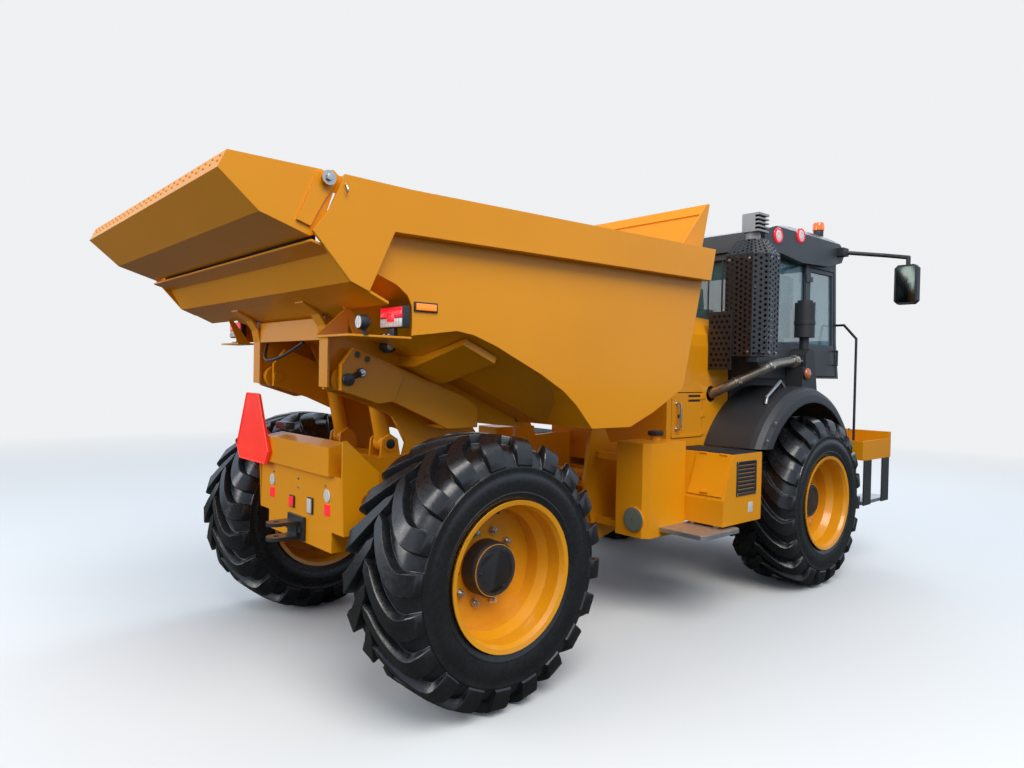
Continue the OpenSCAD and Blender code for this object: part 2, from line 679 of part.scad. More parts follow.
// Dump body
SHELL = [[-541, 2448], [-621, 2251], [-743, 1983], [740, 1340], [1080, 1337], [1303, 1421],
         [1607, 1568], [1790, 2260], [1840, 2487]];
SHELL_IN = [[-900, 2600], [-900, 2062], [736, 1352], [1078, 1349], [1298, 1432], [1599, 1577],
            [1780, 2263], [1864, 2600]];
CUT = [[-1000, 1000], [-1000, 2400], [21, 1786], [335, 1648], [507, 1554], [609, 1476],
       [740, 1343], [745, 1000]];
CUT_IN = [[-1000, 1000], [-1000, 2420], [21, 1800], [335, 1663], [514, 1566], [617, 1487],
          [752, 1353], [760, 1000]];
FLANK = [[-541, 2448], [-621, 2251], [-666, 2070], [-566, 2034], [-506, 1989], [-483, 1941],
         [-480, 1811], [-372, 1825], [-226, 1845], [-123, 1830], [21, 1781], [335, 1644],
         [507, 1554], [609, 1476], [740, 1343], [1076, 1337], [1303, 1421], [1607, 1568],
         [1790, 2260], [1840, 2487]];
RAIL = [[-621, 2251], [1790, 2279], [1840, 2487], [-541, 2448]];
WING = [[-865, 2453], [-541, 2448], [-621, 2251], [-703, 2069], [-743, 1983], [-831, 2018],
        [-962, 2162], [-1002, 2204], [-930, 2299]];
LIP = [[-1003, 2162], [-902, 2133], [-832, 2016], [-743, 1983], [-640, 1938], [-640, 1950],
       [-739, 1994], [-824, 2025], [-895, 2142], [-1001, 2172]];
PIN_PLATE = [[-541, 2448], [-900, 2455], [-950, 2458], [-970, 2440], [-970, 2405], [-940, 2385],
             [-575, 2370]];

module dump_body() at_frame() color(yellow) {
    difference() {
        side(SHELL, -body_y, body_y);
        difference() {
            side(SHELL_IN, -body_y + plate_t, body_y - plate_t);
            both() intersection() {
                on_floor() across([[600, -60], [1200, -60], [1200, 190.5], [628.5, 0]], -300, 1800);
                side(CUT_IN, 500, 1300);
            }
        }
        both() intersection() {
            on_floor() across([[floor_y, 0], [floor_y, -60], [1200, -60], [1200, 180]], -300, 1800);
            side(CUT, 500, 1300);
        }
    }
    both() {
        side(FLANK, body_y - plate_t, body_y);
        side(RAIL, body_y - 5, rail_y);
        side(WING, rail_y - 15, rail_y);
        side(PIN_PLATE, 1058, 1074);
        y_cyl(flap_x, flap_z, 1060, 1114, 15);
        y_cyl(flap_x, flap_z, 1100, 1114, 24);
        side([[1600, 2470], [1842, 2480], [1932, 2815], [1905, 2815]], 990, 1000);
        side([[-600, 1796], [-480, 1796], [-480, 1806], [-600, 1806]], 740, 1045);
        side([[-600, 1796], [-520, 1796], [-640, 1950], [-665, 1952]], 740, 750);
        on_floor() across([[440, 2], [440, -60], [620, -60], [980, 60], [980, 95], [660, 2]],
                          640, 860);
    }
    mirror([0, 1, 0]) {
        side([[-800, 1796], [-590, 1796], [-590, 1806], [-800, 1806]], 740, 1045);
        side([[-800, 1806], [-800, 1796], [-640, 1796], [-640, 1950]], 740, 750);
    }
    side(LIP, -1106, 1106);
    side([[1828, 2440], [1840, 2440], [1936, 2815], [1924, 2815]], -1000, 1000);
    side([[1900, 2755], [1912, 2752], [1936, 2815], [1924, 2821]], -1000, 1000);
}

FLANGE = [[-606, 1560], [-606, 1800], [-621, 1872], [-656, 1924], [-704, 1954], [-742, 1976],
          [-742, 2000], [-698, 1968], [-647, 1934], [-609, 1877], [-594, 1801], [-594, 1560]];

module body_carrier() at_frame() color(yellow) {
    box(-604, -594, -386, 386, 1800, 1912);
    both() {
        difference() {
            union() {
                difference() {
                    side([[-600, 1560], [-600, 1925], [950, 1325], [740, 1308], [520, 1330],
                          [330, 1352], [60, 1430], [-300, 1548], [-480, 1548], [-560, 1548]],
                         400, 440);
                    on_floor() across([[300, -0.2], [300, 300], [600, 300], [600, -0.2]], -300, 2000);
                    box(700, 1000, 300, 500, 1340, 1400);
                }
                y_cyl(tip_x, tip_z, 345, 475, 62);
                difference() {
                    side(FLANGE, 385, 478);
                    on_floor() across([[300, -0.2], [300, 300], [600, 300], [600, -0.2]],
                                      -300, 2000);
                }
            }
            y_cyl(tip_x, tip_z, 300, 500, 31);
        }
        for (y = [190, 275]) difference() {
            side([[-265, 1650], [-195, 1650], [-130, 1700], [-130, 1800], [-330, 1900], [-330, 1780]],
                 y, y + 16);
            on_floor() across([[100, -0.2], [100, 300], [400, 300], [400, -0.2]], -300, 2000);
        }
    }
}

FLAP = [[-1330, 2461], [-1364, 2389], [-1206, 2252], [-998, 2186], [-960, 2200], [-980, 2458]];
FLAP_IN = [[-1300, 2520], [-1353, 2391], [-1202, 2262], [-998, 2197], [-970, 2208], [-940, 2208],
           [-940, 2520]];
CHEEK = [[-1330, 2461], [-1364, 2389], [-1206, 2252], [-998, 2186], [-960, 2200], [-925, 2300],
         [-895, 2390], [-905, 2445], [-950, 2462]];
ARM = [[-973, 2448], [-905, 2466], [-880, 2447], [-900, 2400], [-945, 2330], [-1000, 2224],
       [-1059, 2242]];

module tail_flap() at_frame() color(yellow) {
    difference() {
        side(FLAP, -1079, 1079);
        side(FLAP_IN, -1100, 1100);
    }
    both() difference() {
        union() {
            side(CHEEK, 1078, 1086);
            side(ARM, 1085.9, 1097);
        }
        y_cyl(flap_x, flap_z, 1050, 1110, 16);
    }
}

module tail_lamps() at_frame() color(red) {
    both() {
        box(-540, -500, 868, 1062, 1845, 1945);
        box(-560, -490, 910, 980, 1806.3, 1846);
        box(-475, -345, 1050, 1062, 1922, 1967);
    }
    x_cyl(-745, -690, -1028, 1860, 35);
    z_cyl(-715, -1028, 1806.3, 1830, 10);
}

module bumper_lamps() at_frame() color(red) {
    box(-545, -530, 40, 100, 862, 930);
    box(-545, -530, -190, -130, 860, 950);
    both() box(-538, -530, 335, 365, 880, 940);
}

ram_eye = [-230, 1690];
ram_foot = [-130, 1235];
ram_len = norm(ram_eye - ram_foot);
TIP_A = atan2(ram_foot[0] - ram_eye[0], ram_eye[1] - ram_foot[1]);

module on_ram() translate([-130, 0, 1235]) rotate([0, -TIP_A, 0]) children();

module tip_barrels() at_frame() both() on_ram() color(black) difference() {
    union() {
        y_cyl(0, 0, 203, 284, 48);
        z_cyl(0, 240, 20, 400, 46);
    }
    y_cyl(0, 0, 190, 300, 29);
    z_cyl(0, 240, 60, 385, 38);
    z_cyl(0, 240, 380, 410, 30.3);
}
module tip_rods() at_frame() both() on_ram() color(steel) {
    z_cyl(0, 240, 65, ram_len - 30, 30);
    y_cyl(0, ram_len, 214, 267, 40);
}

// Drawing
front_frame();
front_axle();
engine_block();
engine_panels();
hood_cover();
service_door_left();
service_door_right();
cab_frame();
cab_posts();
cab_tub();
cab_screen();
cab_roof();
cab_glass();
door_left();
door_right();
door_glass_left();
door_glass_right();
operator_chair();
control_column();
fenders();
side_filter();
exhaust_pipe();
exhaust_guard();
air_intake();
side_tanks();
tool_boxes();
tool_lid_left();
tool_lid_right();
access_steps();
step_straps();
front_platform();
handrails();
mirrors();
front_lamps();
centre_joint();
steer_barrel_left();
steer_barrel_right();
steer_rod_left();
steer_rod_right();
rear_frame();
rear_axle();
rear_box();
tow_hitch();
marker_triangle();
dump_body();
body_carrier();
tail_flap();
tail_lamps();
bumper_lamps();
tip_barrels();
tip_rods();
rim(wheelbase, 1);  // rim_front_left
rim(wheelbase, -1);  // rim_front_right
rim(0, 1);  // rim_rear_left
rim(0, -1);  // rim_rear_right
tyre(wheelbase, 1);  // tyre_front_left
tyre(wheelbase, -1);  // tyre_front_right
tyre(0, 1);  // tyre_rear_left
tyre(0, -1);  // tyre_rear_right
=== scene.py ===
import math

import bmesh
import bpy
from mathutils import Matrix, Vector


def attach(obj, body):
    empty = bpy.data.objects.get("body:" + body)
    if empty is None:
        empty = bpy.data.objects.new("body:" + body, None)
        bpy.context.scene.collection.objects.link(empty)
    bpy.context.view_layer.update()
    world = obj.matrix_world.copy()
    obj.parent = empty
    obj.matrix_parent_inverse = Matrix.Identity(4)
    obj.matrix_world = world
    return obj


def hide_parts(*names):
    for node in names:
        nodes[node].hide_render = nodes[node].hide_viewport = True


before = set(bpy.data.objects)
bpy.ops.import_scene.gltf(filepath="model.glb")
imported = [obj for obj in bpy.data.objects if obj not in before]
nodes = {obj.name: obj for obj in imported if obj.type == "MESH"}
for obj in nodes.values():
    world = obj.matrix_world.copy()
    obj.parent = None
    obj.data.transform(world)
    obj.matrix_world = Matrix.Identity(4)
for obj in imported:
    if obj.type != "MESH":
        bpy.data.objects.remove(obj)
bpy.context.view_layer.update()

# Stations run in millimetres from the rear axle, as on the truck's drawings.
originStation = 1643


def at(x, y, z):
    return Vector(((x - originStation) / 1000, y / 1000, z / 1000))


# The camera stands where the photograph was taken.
cameraSettings = {
    "place": (-3.9223, -3.785, 1.6584),
    "heading": 0.8487,
    "pitch": -0.0179,
    "roll": 0.0192,
    "lens": 25.07,
}


def makeCamera(s):
    cp, sp = math.cos(s["pitch"]), math.sin(s["pitch"])
    forward = Vector((cp * math.cos(s["heading"]), cp * math.sin(s["heading"]), sp))
    right = forward.cross(Vector((0, 0, 1))).normalized()
    up = right.cross(forward)
    cr, sr = math.cos(s["roll"]), math.sin(s["roll"])
    right, up = right * cr + up * sr, up * cr - right * sr
    data = bpy.data.cameras.new("camera")
    data.sensor_width = 36
    data.lens = s["lens"]
    camera = bpy.data.objects.new("camera", data)
    turn = Matrix((right, up, -forward)).transposed().to_4x4()
    camera.matrix_world = Matrix.Translation(Vector(s["place"])) @ turn
    bpy.context.collection.objects.link(camera)
    bpy.context.scene.camera = camera


makeCamera(cameraSettings)
print("camera set")


def addNode(tree, kind, **values):
    node = tree.nodes.new(kind)
    for key, value in values.items():
        setattr(node, key, value)
    return node


def setInputs(node, values):
    for title, value in values.items():
        node.inputs[title].default_value = value


def link(tree, a, b):
    tree.links.new(a, b)


def newGroup(name, inputs, outputs):
    group = bpy.data.node_groups.new(name, "ShaderNodeTree")
    for title, kind, default in inputs:
        socket = group.interface.new_socket(name=title, in_out="INPUT", socket_type=kind)
        socket.default_value = default
    for title, kind in outputs:
        group.interface.new_socket(name=title, in_out="OUTPUT", socket_type=kind)
    start = addNode(group, "NodeGroupInput")
    end = addNode(group, "NodeGroupOutput")
    return group, start, end


# Broad and fine tone changes plus a height, for any finish.
mottleGroup, mIn, mOut = newGroup(
    "mottle",
    [("Broad Scale", "NodeSocketFloat", 2.5), ("Fine Scale", "NodeSocketFloat", 60.0)],
    [("Broad", "NodeSocketFloat"), ("Fine", "NodeSocketFloat"), ("Height", "NodeSocketFloat")],
)
coords = addNode(mottleGroup, "ShaderNodeTexCoord")
broad = addNode(mottleGroup, "ShaderNodeTexNoise")
setInputs(broad, {"Detail": 4})
fine = addNode(mottleGroup, "ShaderNodeTexNoise")
setInputs(fine, {"Detail": 6, "Roughness": 0.65})
for source, target in (
    (coords.outputs["Object"], broad.inputs["Vector"]),
    (coords.outputs["Object"], fine.inputs["Vector"]),
    (mIn.outputs["Broad Scale"], broad.inputs["Scale"]),
    (mIn.outputs["Fine Scale"], fine.inputs["Scale"]),
    (broad.outputs["Fac"], mOut.inputs["Broad"]),
    (fine.outputs["Fac"], mOut.inputs["Fine"]),
    (fine.outputs["Fac"], mOut.inputs["Height"]),
):
    link(mottleGroup, source, target)

# Road dirt that fades with height above the ground.
dirtGroup, dIn, dOut = newGroup(
    "roadDirt",
    [("Clean Height", "NodeSocketFloat", 1.6), ("Amount", "NodeSocketFloat", 0.5),
     ("Scale", "NodeSocketFloat", 9.0)],
    [("Mask", "NodeSocketFloat")],
)
dCoords = addNode(dirtGroup, "ShaderNodeTexCoord")
dSplit = addNode(dirtGroup, "ShaderNodeSeparateXYZ")
dRange = addNode(dirtGroup, "ShaderNodeMapRange")
setInputs(dRange, {"From Min": 0.1, "To Min": 1.0, "To Max": 0.0})
dNoise = addNode(dirtGroup, "ShaderNodeTexNoise")
setInputs(dNoise, {"Detail": 8, "Roughness": 0.7})
dSharp = addNode(dirtGroup, "ShaderNodeMapRange")
setInputs(dSharp, {"From Min": 0.42, "From Max": 0.75})
dMul = addNode(dirtGroup, "ShaderNodeMath", operation="MULTIPLY")
dMul2 = addNode(dirtGroup, "ShaderNodeMath", operation="MULTIPLY", use_clamp=True)
for source, target in (
    (dCoords.outputs["Object"], dSplit.inputs["Vector"]),
    (dSplit.outputs["Z"], dRange.inputs["Value"]),
    (dIn.outputs["Clean Height"], dRange.inputs["From Max"]),
    (dCoords.outputs["Object"], dNoise.inputs["Vector"]),
    (dIn.outputs["Scale"], dNoise.inputs["Scale"]),
    (dNoise.outputs["Fac"], dSharp.inputs["Value"]),
    (dSharp.outputs["Result"], dMul.inputs[0]),
    (dRange.outputs["Result"], dMul.inputs[1]),
    (dMul.outputs["Value"], dMul2.inputs[0]),
    (dIn.outputs["Amount"], dMul2.inputs[1]),
    (dMul2.outputs["Value"], dOut.inputs["Mask"]),
):
    link(dirtGroup, source, target)


def useGroup(tree, group, values):
    node = addNode(tree, "ShaderNodeGroup", node_tree=group)
    setInputs(node, values)
    return node


def mixColour(tree, factor, a, b):
    mix = addNode(tree, "ShaderNodeMix", data_type="RGBA")
    for socket, value in ((mix.inputs[0], factor), (mix.inputs[6], a), (mix.inputs[7], b)):
        if isinstance(value, bpy.types.NodeSocket):
            link(tree, value, socket)
        else:
            socket.default_value = value
    return mix.outputs[2]


def ramp(tree, source, low, high, toLow, toHigh):
    node = addNode(tree, "ShaderNodeMapRange")
    link(tree, source, node.inputs["Value"])
    setInputs(node, {"From Min": low, "From Max": high, "To Min": toLow, "To Max": toHigh})
    return node.outputs["Result"]


def newMaterial(name):
    material = bpy.data.materials.new(name)
    material.use_nodes = True
    shader = material.node_tree.nodes["Principled BSDF"]
    return material, material.node_tree, shader


def rgba(c):
    return (c[0], c[1], c[2], 1.0)


def finish(name, colour, shade=None, roughness=(0.3, 0.45), metallic=0.0, coat=0.0,
           broadScale=2.2, fineScale=70.0, bump=0.05, bumpDistance=0.002, dirt=0.0,
           dirtColour=(0.10, 0.085, 0.065), cleanHeight=1.6, dirtScale=9.0, edge=0.0,
           specular=0.5, paintedGlow=0.0):
    material, tree, shader = newMaterial(name)
    mottle = useGroup(tree, mottleGroup, {"Broad Scale": broadScale, "Fine Scale": fineScale})
    shade = shade or tuple(c * 0.82 for c in colour)
    tone = ramp(tree, mottle.outputs["Broad"], 0.35, 0.65, 0.0, 1.0)
    base = mixColour(tree, tone, rgba(shade), rgba(colour))
    rough = ramp(tree, mottle.outputs["Fine"], 0.3, 0.7, roughness[0], roughness[1])
    if dirt:
        mask = useGroup(tree, dirtGroup, {"Clean Height": cleanHeight, "Amount": dirt,
                                          "Scale": dirtScale}).outputs["Mask"]
        base = mixColour(tree, mask, base, rgba(dirtColour))
        addRough = addNode(tree, "ShaderNodeMath", operation="MULTIPLY_ADD", use_clamp=True)
        link(tree, mask, addRough.inputs[0])
        addRough.inputs[1].default_value = 0.35
        link(tree, rough, addRough.inputs[2])
        rough = addRough.outputs["Value"]
    link(tree, base, shader.inputs["Base Color"])
    link(tree, rough, shader.inputs["Roughness"])
    setInputs(shader, {"Metallic": metallic, "Specular IOR Level": specular,
                       "Coat Weight": coat, "Coat Roughness": 0.08})
    # A painted glow: the surface gives off its base colour as light.
    if paintedGlow:
        link(tree, base, shader.inputs["Emission Color"])
        setInputs(shader, {"Emission Strength": paintedGlow})
    bumpNode = addNode(tree, "ShaderNodeBump")
    setInputs(bumpNode, {"Strength": bump, "Distance": bumpDistance})
    link(tree, mottle.outputs["Height"], bumpNode.inputs["Height"])
    if edge:
        bevel = addNode(tree, "ShaderNodeBevel", samples=4)
        setInputs(bevel, {"Radius": edge})
        link(tree, bevel.outputs["Normal"], bumpNode.inputs["Normal"])
    link(tree, bumpNode.outputs["Normal"], shader.inputs["Normal"])
    return material


paint = finish("machinePaint", (0.80, 0.305, 0.004), (0.76, 0.285, 0.003), (0.30, 0.38), coat=0.18,
               broadScale=1.2, bump=0.015, dirt=0.08, dirtColour=(0.30, 0.15, 0.03),
               cleanHeight=1.1, edge=0.004, specular=0.3)
rimPaint = finish("rimPaint", (0.82, 0.34, 0.008), (0.78, 0.31, 0.006), (0.25, 0.34), coat=0.35,
                  broadScale=5, bump=0.02, dirt=0.12, dirtColour=(0.24, 0.14, 0.05),
                  cleanHeight=1.1, edge=0.003)
blackPaint = finish("blackPaint", (0.022, 0.024, 0.028), (0.016, 0.017, 0.02), (0.3, 0.42),
                    coat=0.25, bump=0.03, edge=0.003, dirt=0.2, cleanHeight=1.6)
blackPlastic = finish("blackPlastic", (0.028, 0.030, 0.034), (0.021, 0.022, 0.026), (0.42, 0.58),
                      fineScale=240, bump=0.12, bumpDistance=0.001, dirt=0.25, cleanHeight=1.5,
                      edge=0.004)
cabGrey = finish("cabGrey", (0.045, 0.049, 0.056), (0.036, 0.039, 0.045), (0.35, 0.5),
                 bump=0.05, edge=0.004)
tyreRubber = finish("tyreRubber", (0.0085, 0.009, 0.011), (0.006, 0.006, 0.008), (0.20, 0.42),
                    broadScale=7, fineScale=45, bump=0.18, bumpDistance=0.003, dirt=0.12,
                    dirtColour=(0.035, 0.030, 0.022), cleanHeight=1.3, dirtScale=14, edge=0.004,
                    specular=0.75)
steelFinish = finish("exhaustSteel", (0.46, 0.42, 0.37), (0.36, 0.30, 0.24), (0.22, 0.38),
                     metallic=0.9, broadScale=6, fineScale=120, bump=0.04)
galvanised = finish("galvanised", (0.50, 0.51, 0.52), (0.40, 0.41, 0.42), (0.32, 0.55),
                    metallic=0.85, broadScale=22, fineScale=90, bump=0.05, edge=0.002)
boltSteel = finish("boltSteel", (0.62, 0.62, 0.60), (0.5, 0.5, 0.48), (0.22, 0.35),
                   metallic=0.95, bump=0.03)
rodChrome = finish("rodChrome", (0.72, 0.72, 0.73), (0.66, 0.66, 0.67), (0.08, 0.16),
                   metallic=1.0, bump=0.01)
paleGrey = finish("paleGrey", (0.15, 0.17, 0.14), (0.12, 0.14, 0.115), (0.4, 0.55), bump=0.06,
                  edge=0.002)
intakeGrey = finish("intakeGrey", (0.30, 0.31, 0.32), (0.25, 0.26, 0.27), (0.35, 0.5), bump=0.04,
                    edge=0.002)
blankPlate = finish("blankPlate", (0.62, 0.64, 0.62), (0.56, 0.58, 0.56), (0.3, 0.45), bump=0.04)
# The red marker triangle has a painted glow, though it is a reflector and no lamp.
glowingMarkerRed = finish("glowingMarkerRed", (0.95, 0.035, 0.015), (0.88, 0.028, 0.012), (0.35, 0.45),
                   bump=0.04, broadScale=8, paintedGlow=0.35)
chairCloth = finish("chairCloth", (0.035, 0.036, 0.040), (0.024, 0.025, 0.028), (0.75, 0.9),
                    fineScale=420, bump=0.3, bumpDistance=0.001)
engineGrey = finish("engineGrey", (0.09, 0.092, 0.095), (0.06, 0.062, 0.065), (0.4, 0.6),
                    metallic=0.4, bump=0.1, edge=0.004)
# Near black with little sheen, used as painted shade in holes and gaps.
paintedHoleShade = finish("paintedHoleShade", (0.004, 0.004, 0.005), None, (0.8, 0.9), bump=0.02, specular=0.1)
mirrorGlass = finish("mirrorGlass", (0.09, 0.11, 0.10), (0.07, 0.09, 0.08), (0.12, 0.18),
                     metallic=1.0, bump=0.0)
lampWhite = finish("reflectorWhite", (0.75, 0.75, 0.74), None, (0.15, 0.3), bump=0.05)


def makeGlass(name, tint, seeThrough):
    material, tree, shader = newMaterial(name)
    mottle = useGroup(tree, mottleGroup, {"Broad Scale": 1.5, "Fine Scale": 12.0})
    link(tree, mixColour(tree, mottle.outputs["Broad"], rgba(tuple(c * 0.94 for c in tint)),
                         rgba(tint)), shader.inputs["Base Color"])
    setInputs(shader, {"Roughness": 0.02, "Transmission Weight": 0.0, "IOR": 1.45,
                       "Alpha": 1 - seeThrough, "Coat Weight": 1.0, "Coat Roughness": 0.02})
    return material


def makeLens(name, colour, paintedGlow):
    material, tree, shader = newMaterial(name)
    texture = addNode(tree, "ShaderNodeTexCoord")
    wave = addNode(tree, "ShaderNodeTexWave", bands_direction="Y")
    setInputs(wave, {"Scale": 14.0})
    link(tree, texture.outputs["Object"], wave.inputs["Vector"])
    dark = tuple(c * 0.55 for c in colour)
    link(tree, mixColour(tree, wave.outputs["Fac"], rgba(dark), rgba(colour)),
         shader.inputs["Base Color"])
    setInputs(shader, {"Roughness": 0.12, "Coat Weight": 0.8, "Coat Roughness": 0.05,
                       "Emission Color": rgba(colour), "Emission Strength": paintedGlow})
    bumpNode = addNode(tree, "ShaderNodeBump")
    setInputs(bumpNode, {"Strength": 0.4, "Distance": 0.002})
    link(tree, wave.outputs["Fac"], bumpNode.inputs["Height"])
    link(tree, bumpNode.outputs["Normal"], shader.inputs["Normal"])
    return material


cabGlass = makeGlass("cabGlass", (0.10, 0.28, 0.34), seeThrough=0.66)
# The lenses give off a painted glow in their own colour; the red and clear reflectors use the same
# finishes.
redLens = makeLens("redLens", (0.90, 0.015, 0.03), paintedGlow=0.7)
orangeLens = makeLens("orangeLens", (0.95, 0.24, 0.015), paintedGlow=0.6)
amberLens = makeLens("amberLens", (0.55, 0.11, 0.01), paintedGlow=0.12)
beaconLens = makeLens("beaconLens", (0.95, 0.16, 0.01), paintedGlow=0.5)
clearLens = makeLens("clearLens", (0.80, 0.78, 0.76), paintedGlow=0.08)
print("finishes made")


def turnTo(axis):
    return Vector((0, 0, 1)).rotation_difference(Vector(axis).normalized()).to_matrix().to_4x4()


def take(faces, slot):
    for face in faces:
        face.material_index = slot


class Shape:
    def __init__(self):
        self.mesh = bmesh.new()

    def soften(self, made, slot, bevel, onlyEnds=False):
        faces = {f for v in made["verts"] for f in v.link_faces}
        if bevel:
            edges = {e for f in faces if not onlyEnds or len(f.verts) > 4 for e in f.edges}
            done = bmesh.ops.bevel(self.mesh, geom=list(edges), offset=bevel, segments=2,
                                   affect="EDGES", profile=0.6)
            faces = {f for v in done["verts"] for f in v.link_faces} | {
                f for f in faces if f.is_valid} | set(done["faces"])
        take(faces, slot)

    def box(self, low, high, slot=0, bevel=0.0):
        low, high = Vector(low), Vector(high)
        middle, span = (low + high) / 2, high - low
        made = bmesh.ops.create_cube(self.mesh, size=1.0, matrix=Matrix.Translation(middle)
                                     @ Matrix.Diagonal((*span, 1)))
        self.soften(made, slot, bevel)

    def disc(self, place, axis, radius, height, slot=0, segments=32, top=None, bevel=0.0):
        move = Matrix.Translation(Vector(place)) @ turnTo(axis) @ Matrix.Translation(
            (0, 0, height / 2))
        made = bmesh.ops.create_cone(self.mesh, cap_ends=True, segments=segments, radius1=radius,
                                     radius2=radius if top is None else top, depth=height,
                                     matrix=move)
        self.soften(made, slot, bevel, onlyEnds=True)

    def bolt(self, place, axis, radius, slot=0, washer=True):
        place, axis = Vector(place), Vector(axis).normalized()
        if washer:
            self.disc(place, axis, radius * 1.45, radius * 0.22, slot, 20)
        self.disc(place + axis * radius * 0.2, axis, radius, radius * 0.75, slot, 6,
                  bevel=radius * 0.12)

    def ring(self, place, axis, radius, thick, slot=0, segments=40, sides=10):
        turn = Matrix.Translation(Vector(place)) @ turnTo(axis)
        rows = []
        for i in range(segments):
            a = 2 * math.pi * i / segments
            row = []
            for j in range(sides):
                b = 2 * math.pi * j / sides
                r = radius + thick * math.cos(b)
                row.append(self.mesh.verts.new(
                    turn @ Vector((r * math.cos(a), r * math.sin(a), thick * math.sin(b)))))
            rows.append(row)
        faces = []
        for i in range(segments):
            for j in range(sides):
                k, m = (i + 1) % segments, (j + 1) % sides
                faces.append(self.mesh.faces.new((rows[i][j], rows[k][j], rows[k][m], rows[i][m])))
        take(faces, slot)

    def pipe(self, points, radius, slot=0, sides=12, rounds=4):
        points = smoothRoute([Vector(p) for p in points], rounds)
        rows = []
        side = None
        for i, p in enumerate(points):
            ahead = points[min(i + 1, len(points) - 1)] - points[max(i - 1, 0)]
            ahead.normalize()
            if side is None:
                side = ahead.orthogonal().normalized()
            side = (side - ahead * side.dot(ahead)).normalized()
            other = ahead.cross(side)
            rows.append([self.mesh.verts.new(
                p + side * (radius * math.cos(2 * math.pi * j / sides))
                + other * (radius * math.sin(2 * math.pi * j / sides))) for j in range(sides)])
        faces = []
        for a, b in zip(rows, rows[1:]):
            for j in range(sides):
                k = (j + 1) % sides
                faces.append(self.mesh.faces.new((a[j], a[k], b[k], b[j])))
        faces.append(self.mesh.faces.new(list(reversed(rows[0]))))
        faces.append(self.mesh.faces.new(rows[-1]))
        take(faces, slot)

    def done(self, name, materials, body, slotName, smooth=40, hides=()):
        bmesh.ops.recalc_face_normals(self.mesh, faces=self.mesh.faces[:])
        data = bpy.data.meshes.new(name)
        self.mesh.to_mesh(data)
        self.mesh.free()
        for material in materials:
            data.materials.append(material)
        piece = bpy.data.objects.new(name, data)
        bpy.context.collection.objects.link(piece)
        data.shade_smooth()
        data.set_sharp_from_angle(angle=math.radians(smooth))
        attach(piece, body)
        if hides:
            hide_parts(*hides)


def smoothRoute(points, rounds):
    for _ in range(rounds if len(points) > 2 else 0):
        made = [points[0]]
        for a, b in zip(points, points[1:]):
            made += [a.lerp(b, 0.25), a.lerp(b, 0.75)]
        points = made + [points[-1]]
    return points


def ordered(a, b):
    return Vector([min(p) for p in zip(a, b)]), Vector([max(p) for p in zip(a, b)])


def dress(nodeName, material):
    data = nodes[nodeName].data
    data.materials.clear()
    data.materials.append(material)


finishOf = {
    paint: ["front_frame", "front_axle", "engine_panels", "hood_cover", "service_door_left",
            "service_door_right", "side_tanks", "tool_boxes", "tool_lid_left", "tool_lid_right",
            "front_platform", "centre_joint", "rear_frame", "rear_axle", "rear_box", "dump_body",
            "body_carrier", "tail_flap", "tip_barrels"],
    rimPaint: ["rim_front_left", "rim_front_right", "rim_rear_left", "rim_rear_right"],
    tyreRubber: ["tyre_front_left", "tyre_front_right", "tyre_rear_left", "tyre_rear_right"],
    blackPlastic: ["fenders", "mirrors", "control_column", "side_filter", "step_straps"],
    cabGrey: ["cab_frame", "cab_roof", "door_left", "door_right", "cab_tub", "cab_posts",
              "cab_screen"],
    blackPaint: ["exhaust_guard", "handrails", "tow_hitch", "steer_barrel_left",
                 "steer_barrel_right"],
    chairCloth: ["operator_chair"],
    engineGrey: ["engine_block"],
    steelFinish: ["exhaust_pipe"],
    galvanised: ["access_steps"],
    rodChrome: ["steer_rod_left", "steer_rod_right", "tip_rods"],
    intakeGrey: ["air_intake"],
    cabGlass: ["cab_glass", "door_glass_left", "door_glass_right"],
    redLens: ["front_lamps", "tail_lamps", "bumper_lamps"],
    glowingMarkerRed: ["marker_triangle"],
}
for material, names in finishOf.items():
    for name in names:
        dress(name, material)
print("frame dressed")


# Tyres: a smooth carcass with chevron lugs that lead at the middle. Pairs are radius and
# half width, or the share of the half width, the radius and the half width there.
tyreSettings = {
    "lugs": 20, "sweep": 21.0, "sweepEnd": 0.72, "sweepCurve": 1.8, "stations": 16,
    "lugStart": -0.04, "lugRadius": 650, "lugReach": 400, "segments": 160,
    "section": ((-0.57, 0.0), (-0.5, 0.88), (-0.46, 1.0), (0.46, 1.0), (0.5, 0.88), (0.57, 0.0)),
    "carcass": [(622, 0), (620, 120), (613, 190), (598, 222), (580, 240), (556, 252), (532, 260),
                (528, 266), (520, 267), (515, 265), (486, 269), (480, 271), (440, 270),
                (408, 264), (404, 266), (396, 264), (380, 256), (370, 254), (360, 244)],
    "base": [(0, 618, 0), (0.33, 616, 120), (0.53, 608, 188), (0.66, 592, 218), (0.77, 572, 236),
             (0.88, 548, 247), (1.0, 524, 256)],
    "top": [(0, 670, 0), (0.33, 669, 120), (0.53, 663, 192), (0.64, 652, 226), (0.74, 630, 250),
            (0.85, 596, 264), (1.0, 541, 271)],
    "width": [(0, 56), (0.3, 72), (0.55, 92), (0.75, 112), (1.0, 112)],
}
wheelSettings = {"halfTrack": 975, "axle": 670, "places": [("front", 3300), ("rear", 0)]}


def alongTable(table, v):
    v = max(v, table[0][0])
    for a, b in zip(table, table[1:]):
        if v <= b[0]:
            t = (v - a[0]) / (b[0] - a[0])
            return [p + (q - p) * t for p, q in zip(a[1:], b[1:])]
    return list(table[-1][1:])


def wheelPoint(x, side, radius, y, angle):
    return at(x + radius * math.sin(angle), side * wheelSettings["halfTrack"] + y,
              wheelSettings["axle"] + radius * math.cos(angle))


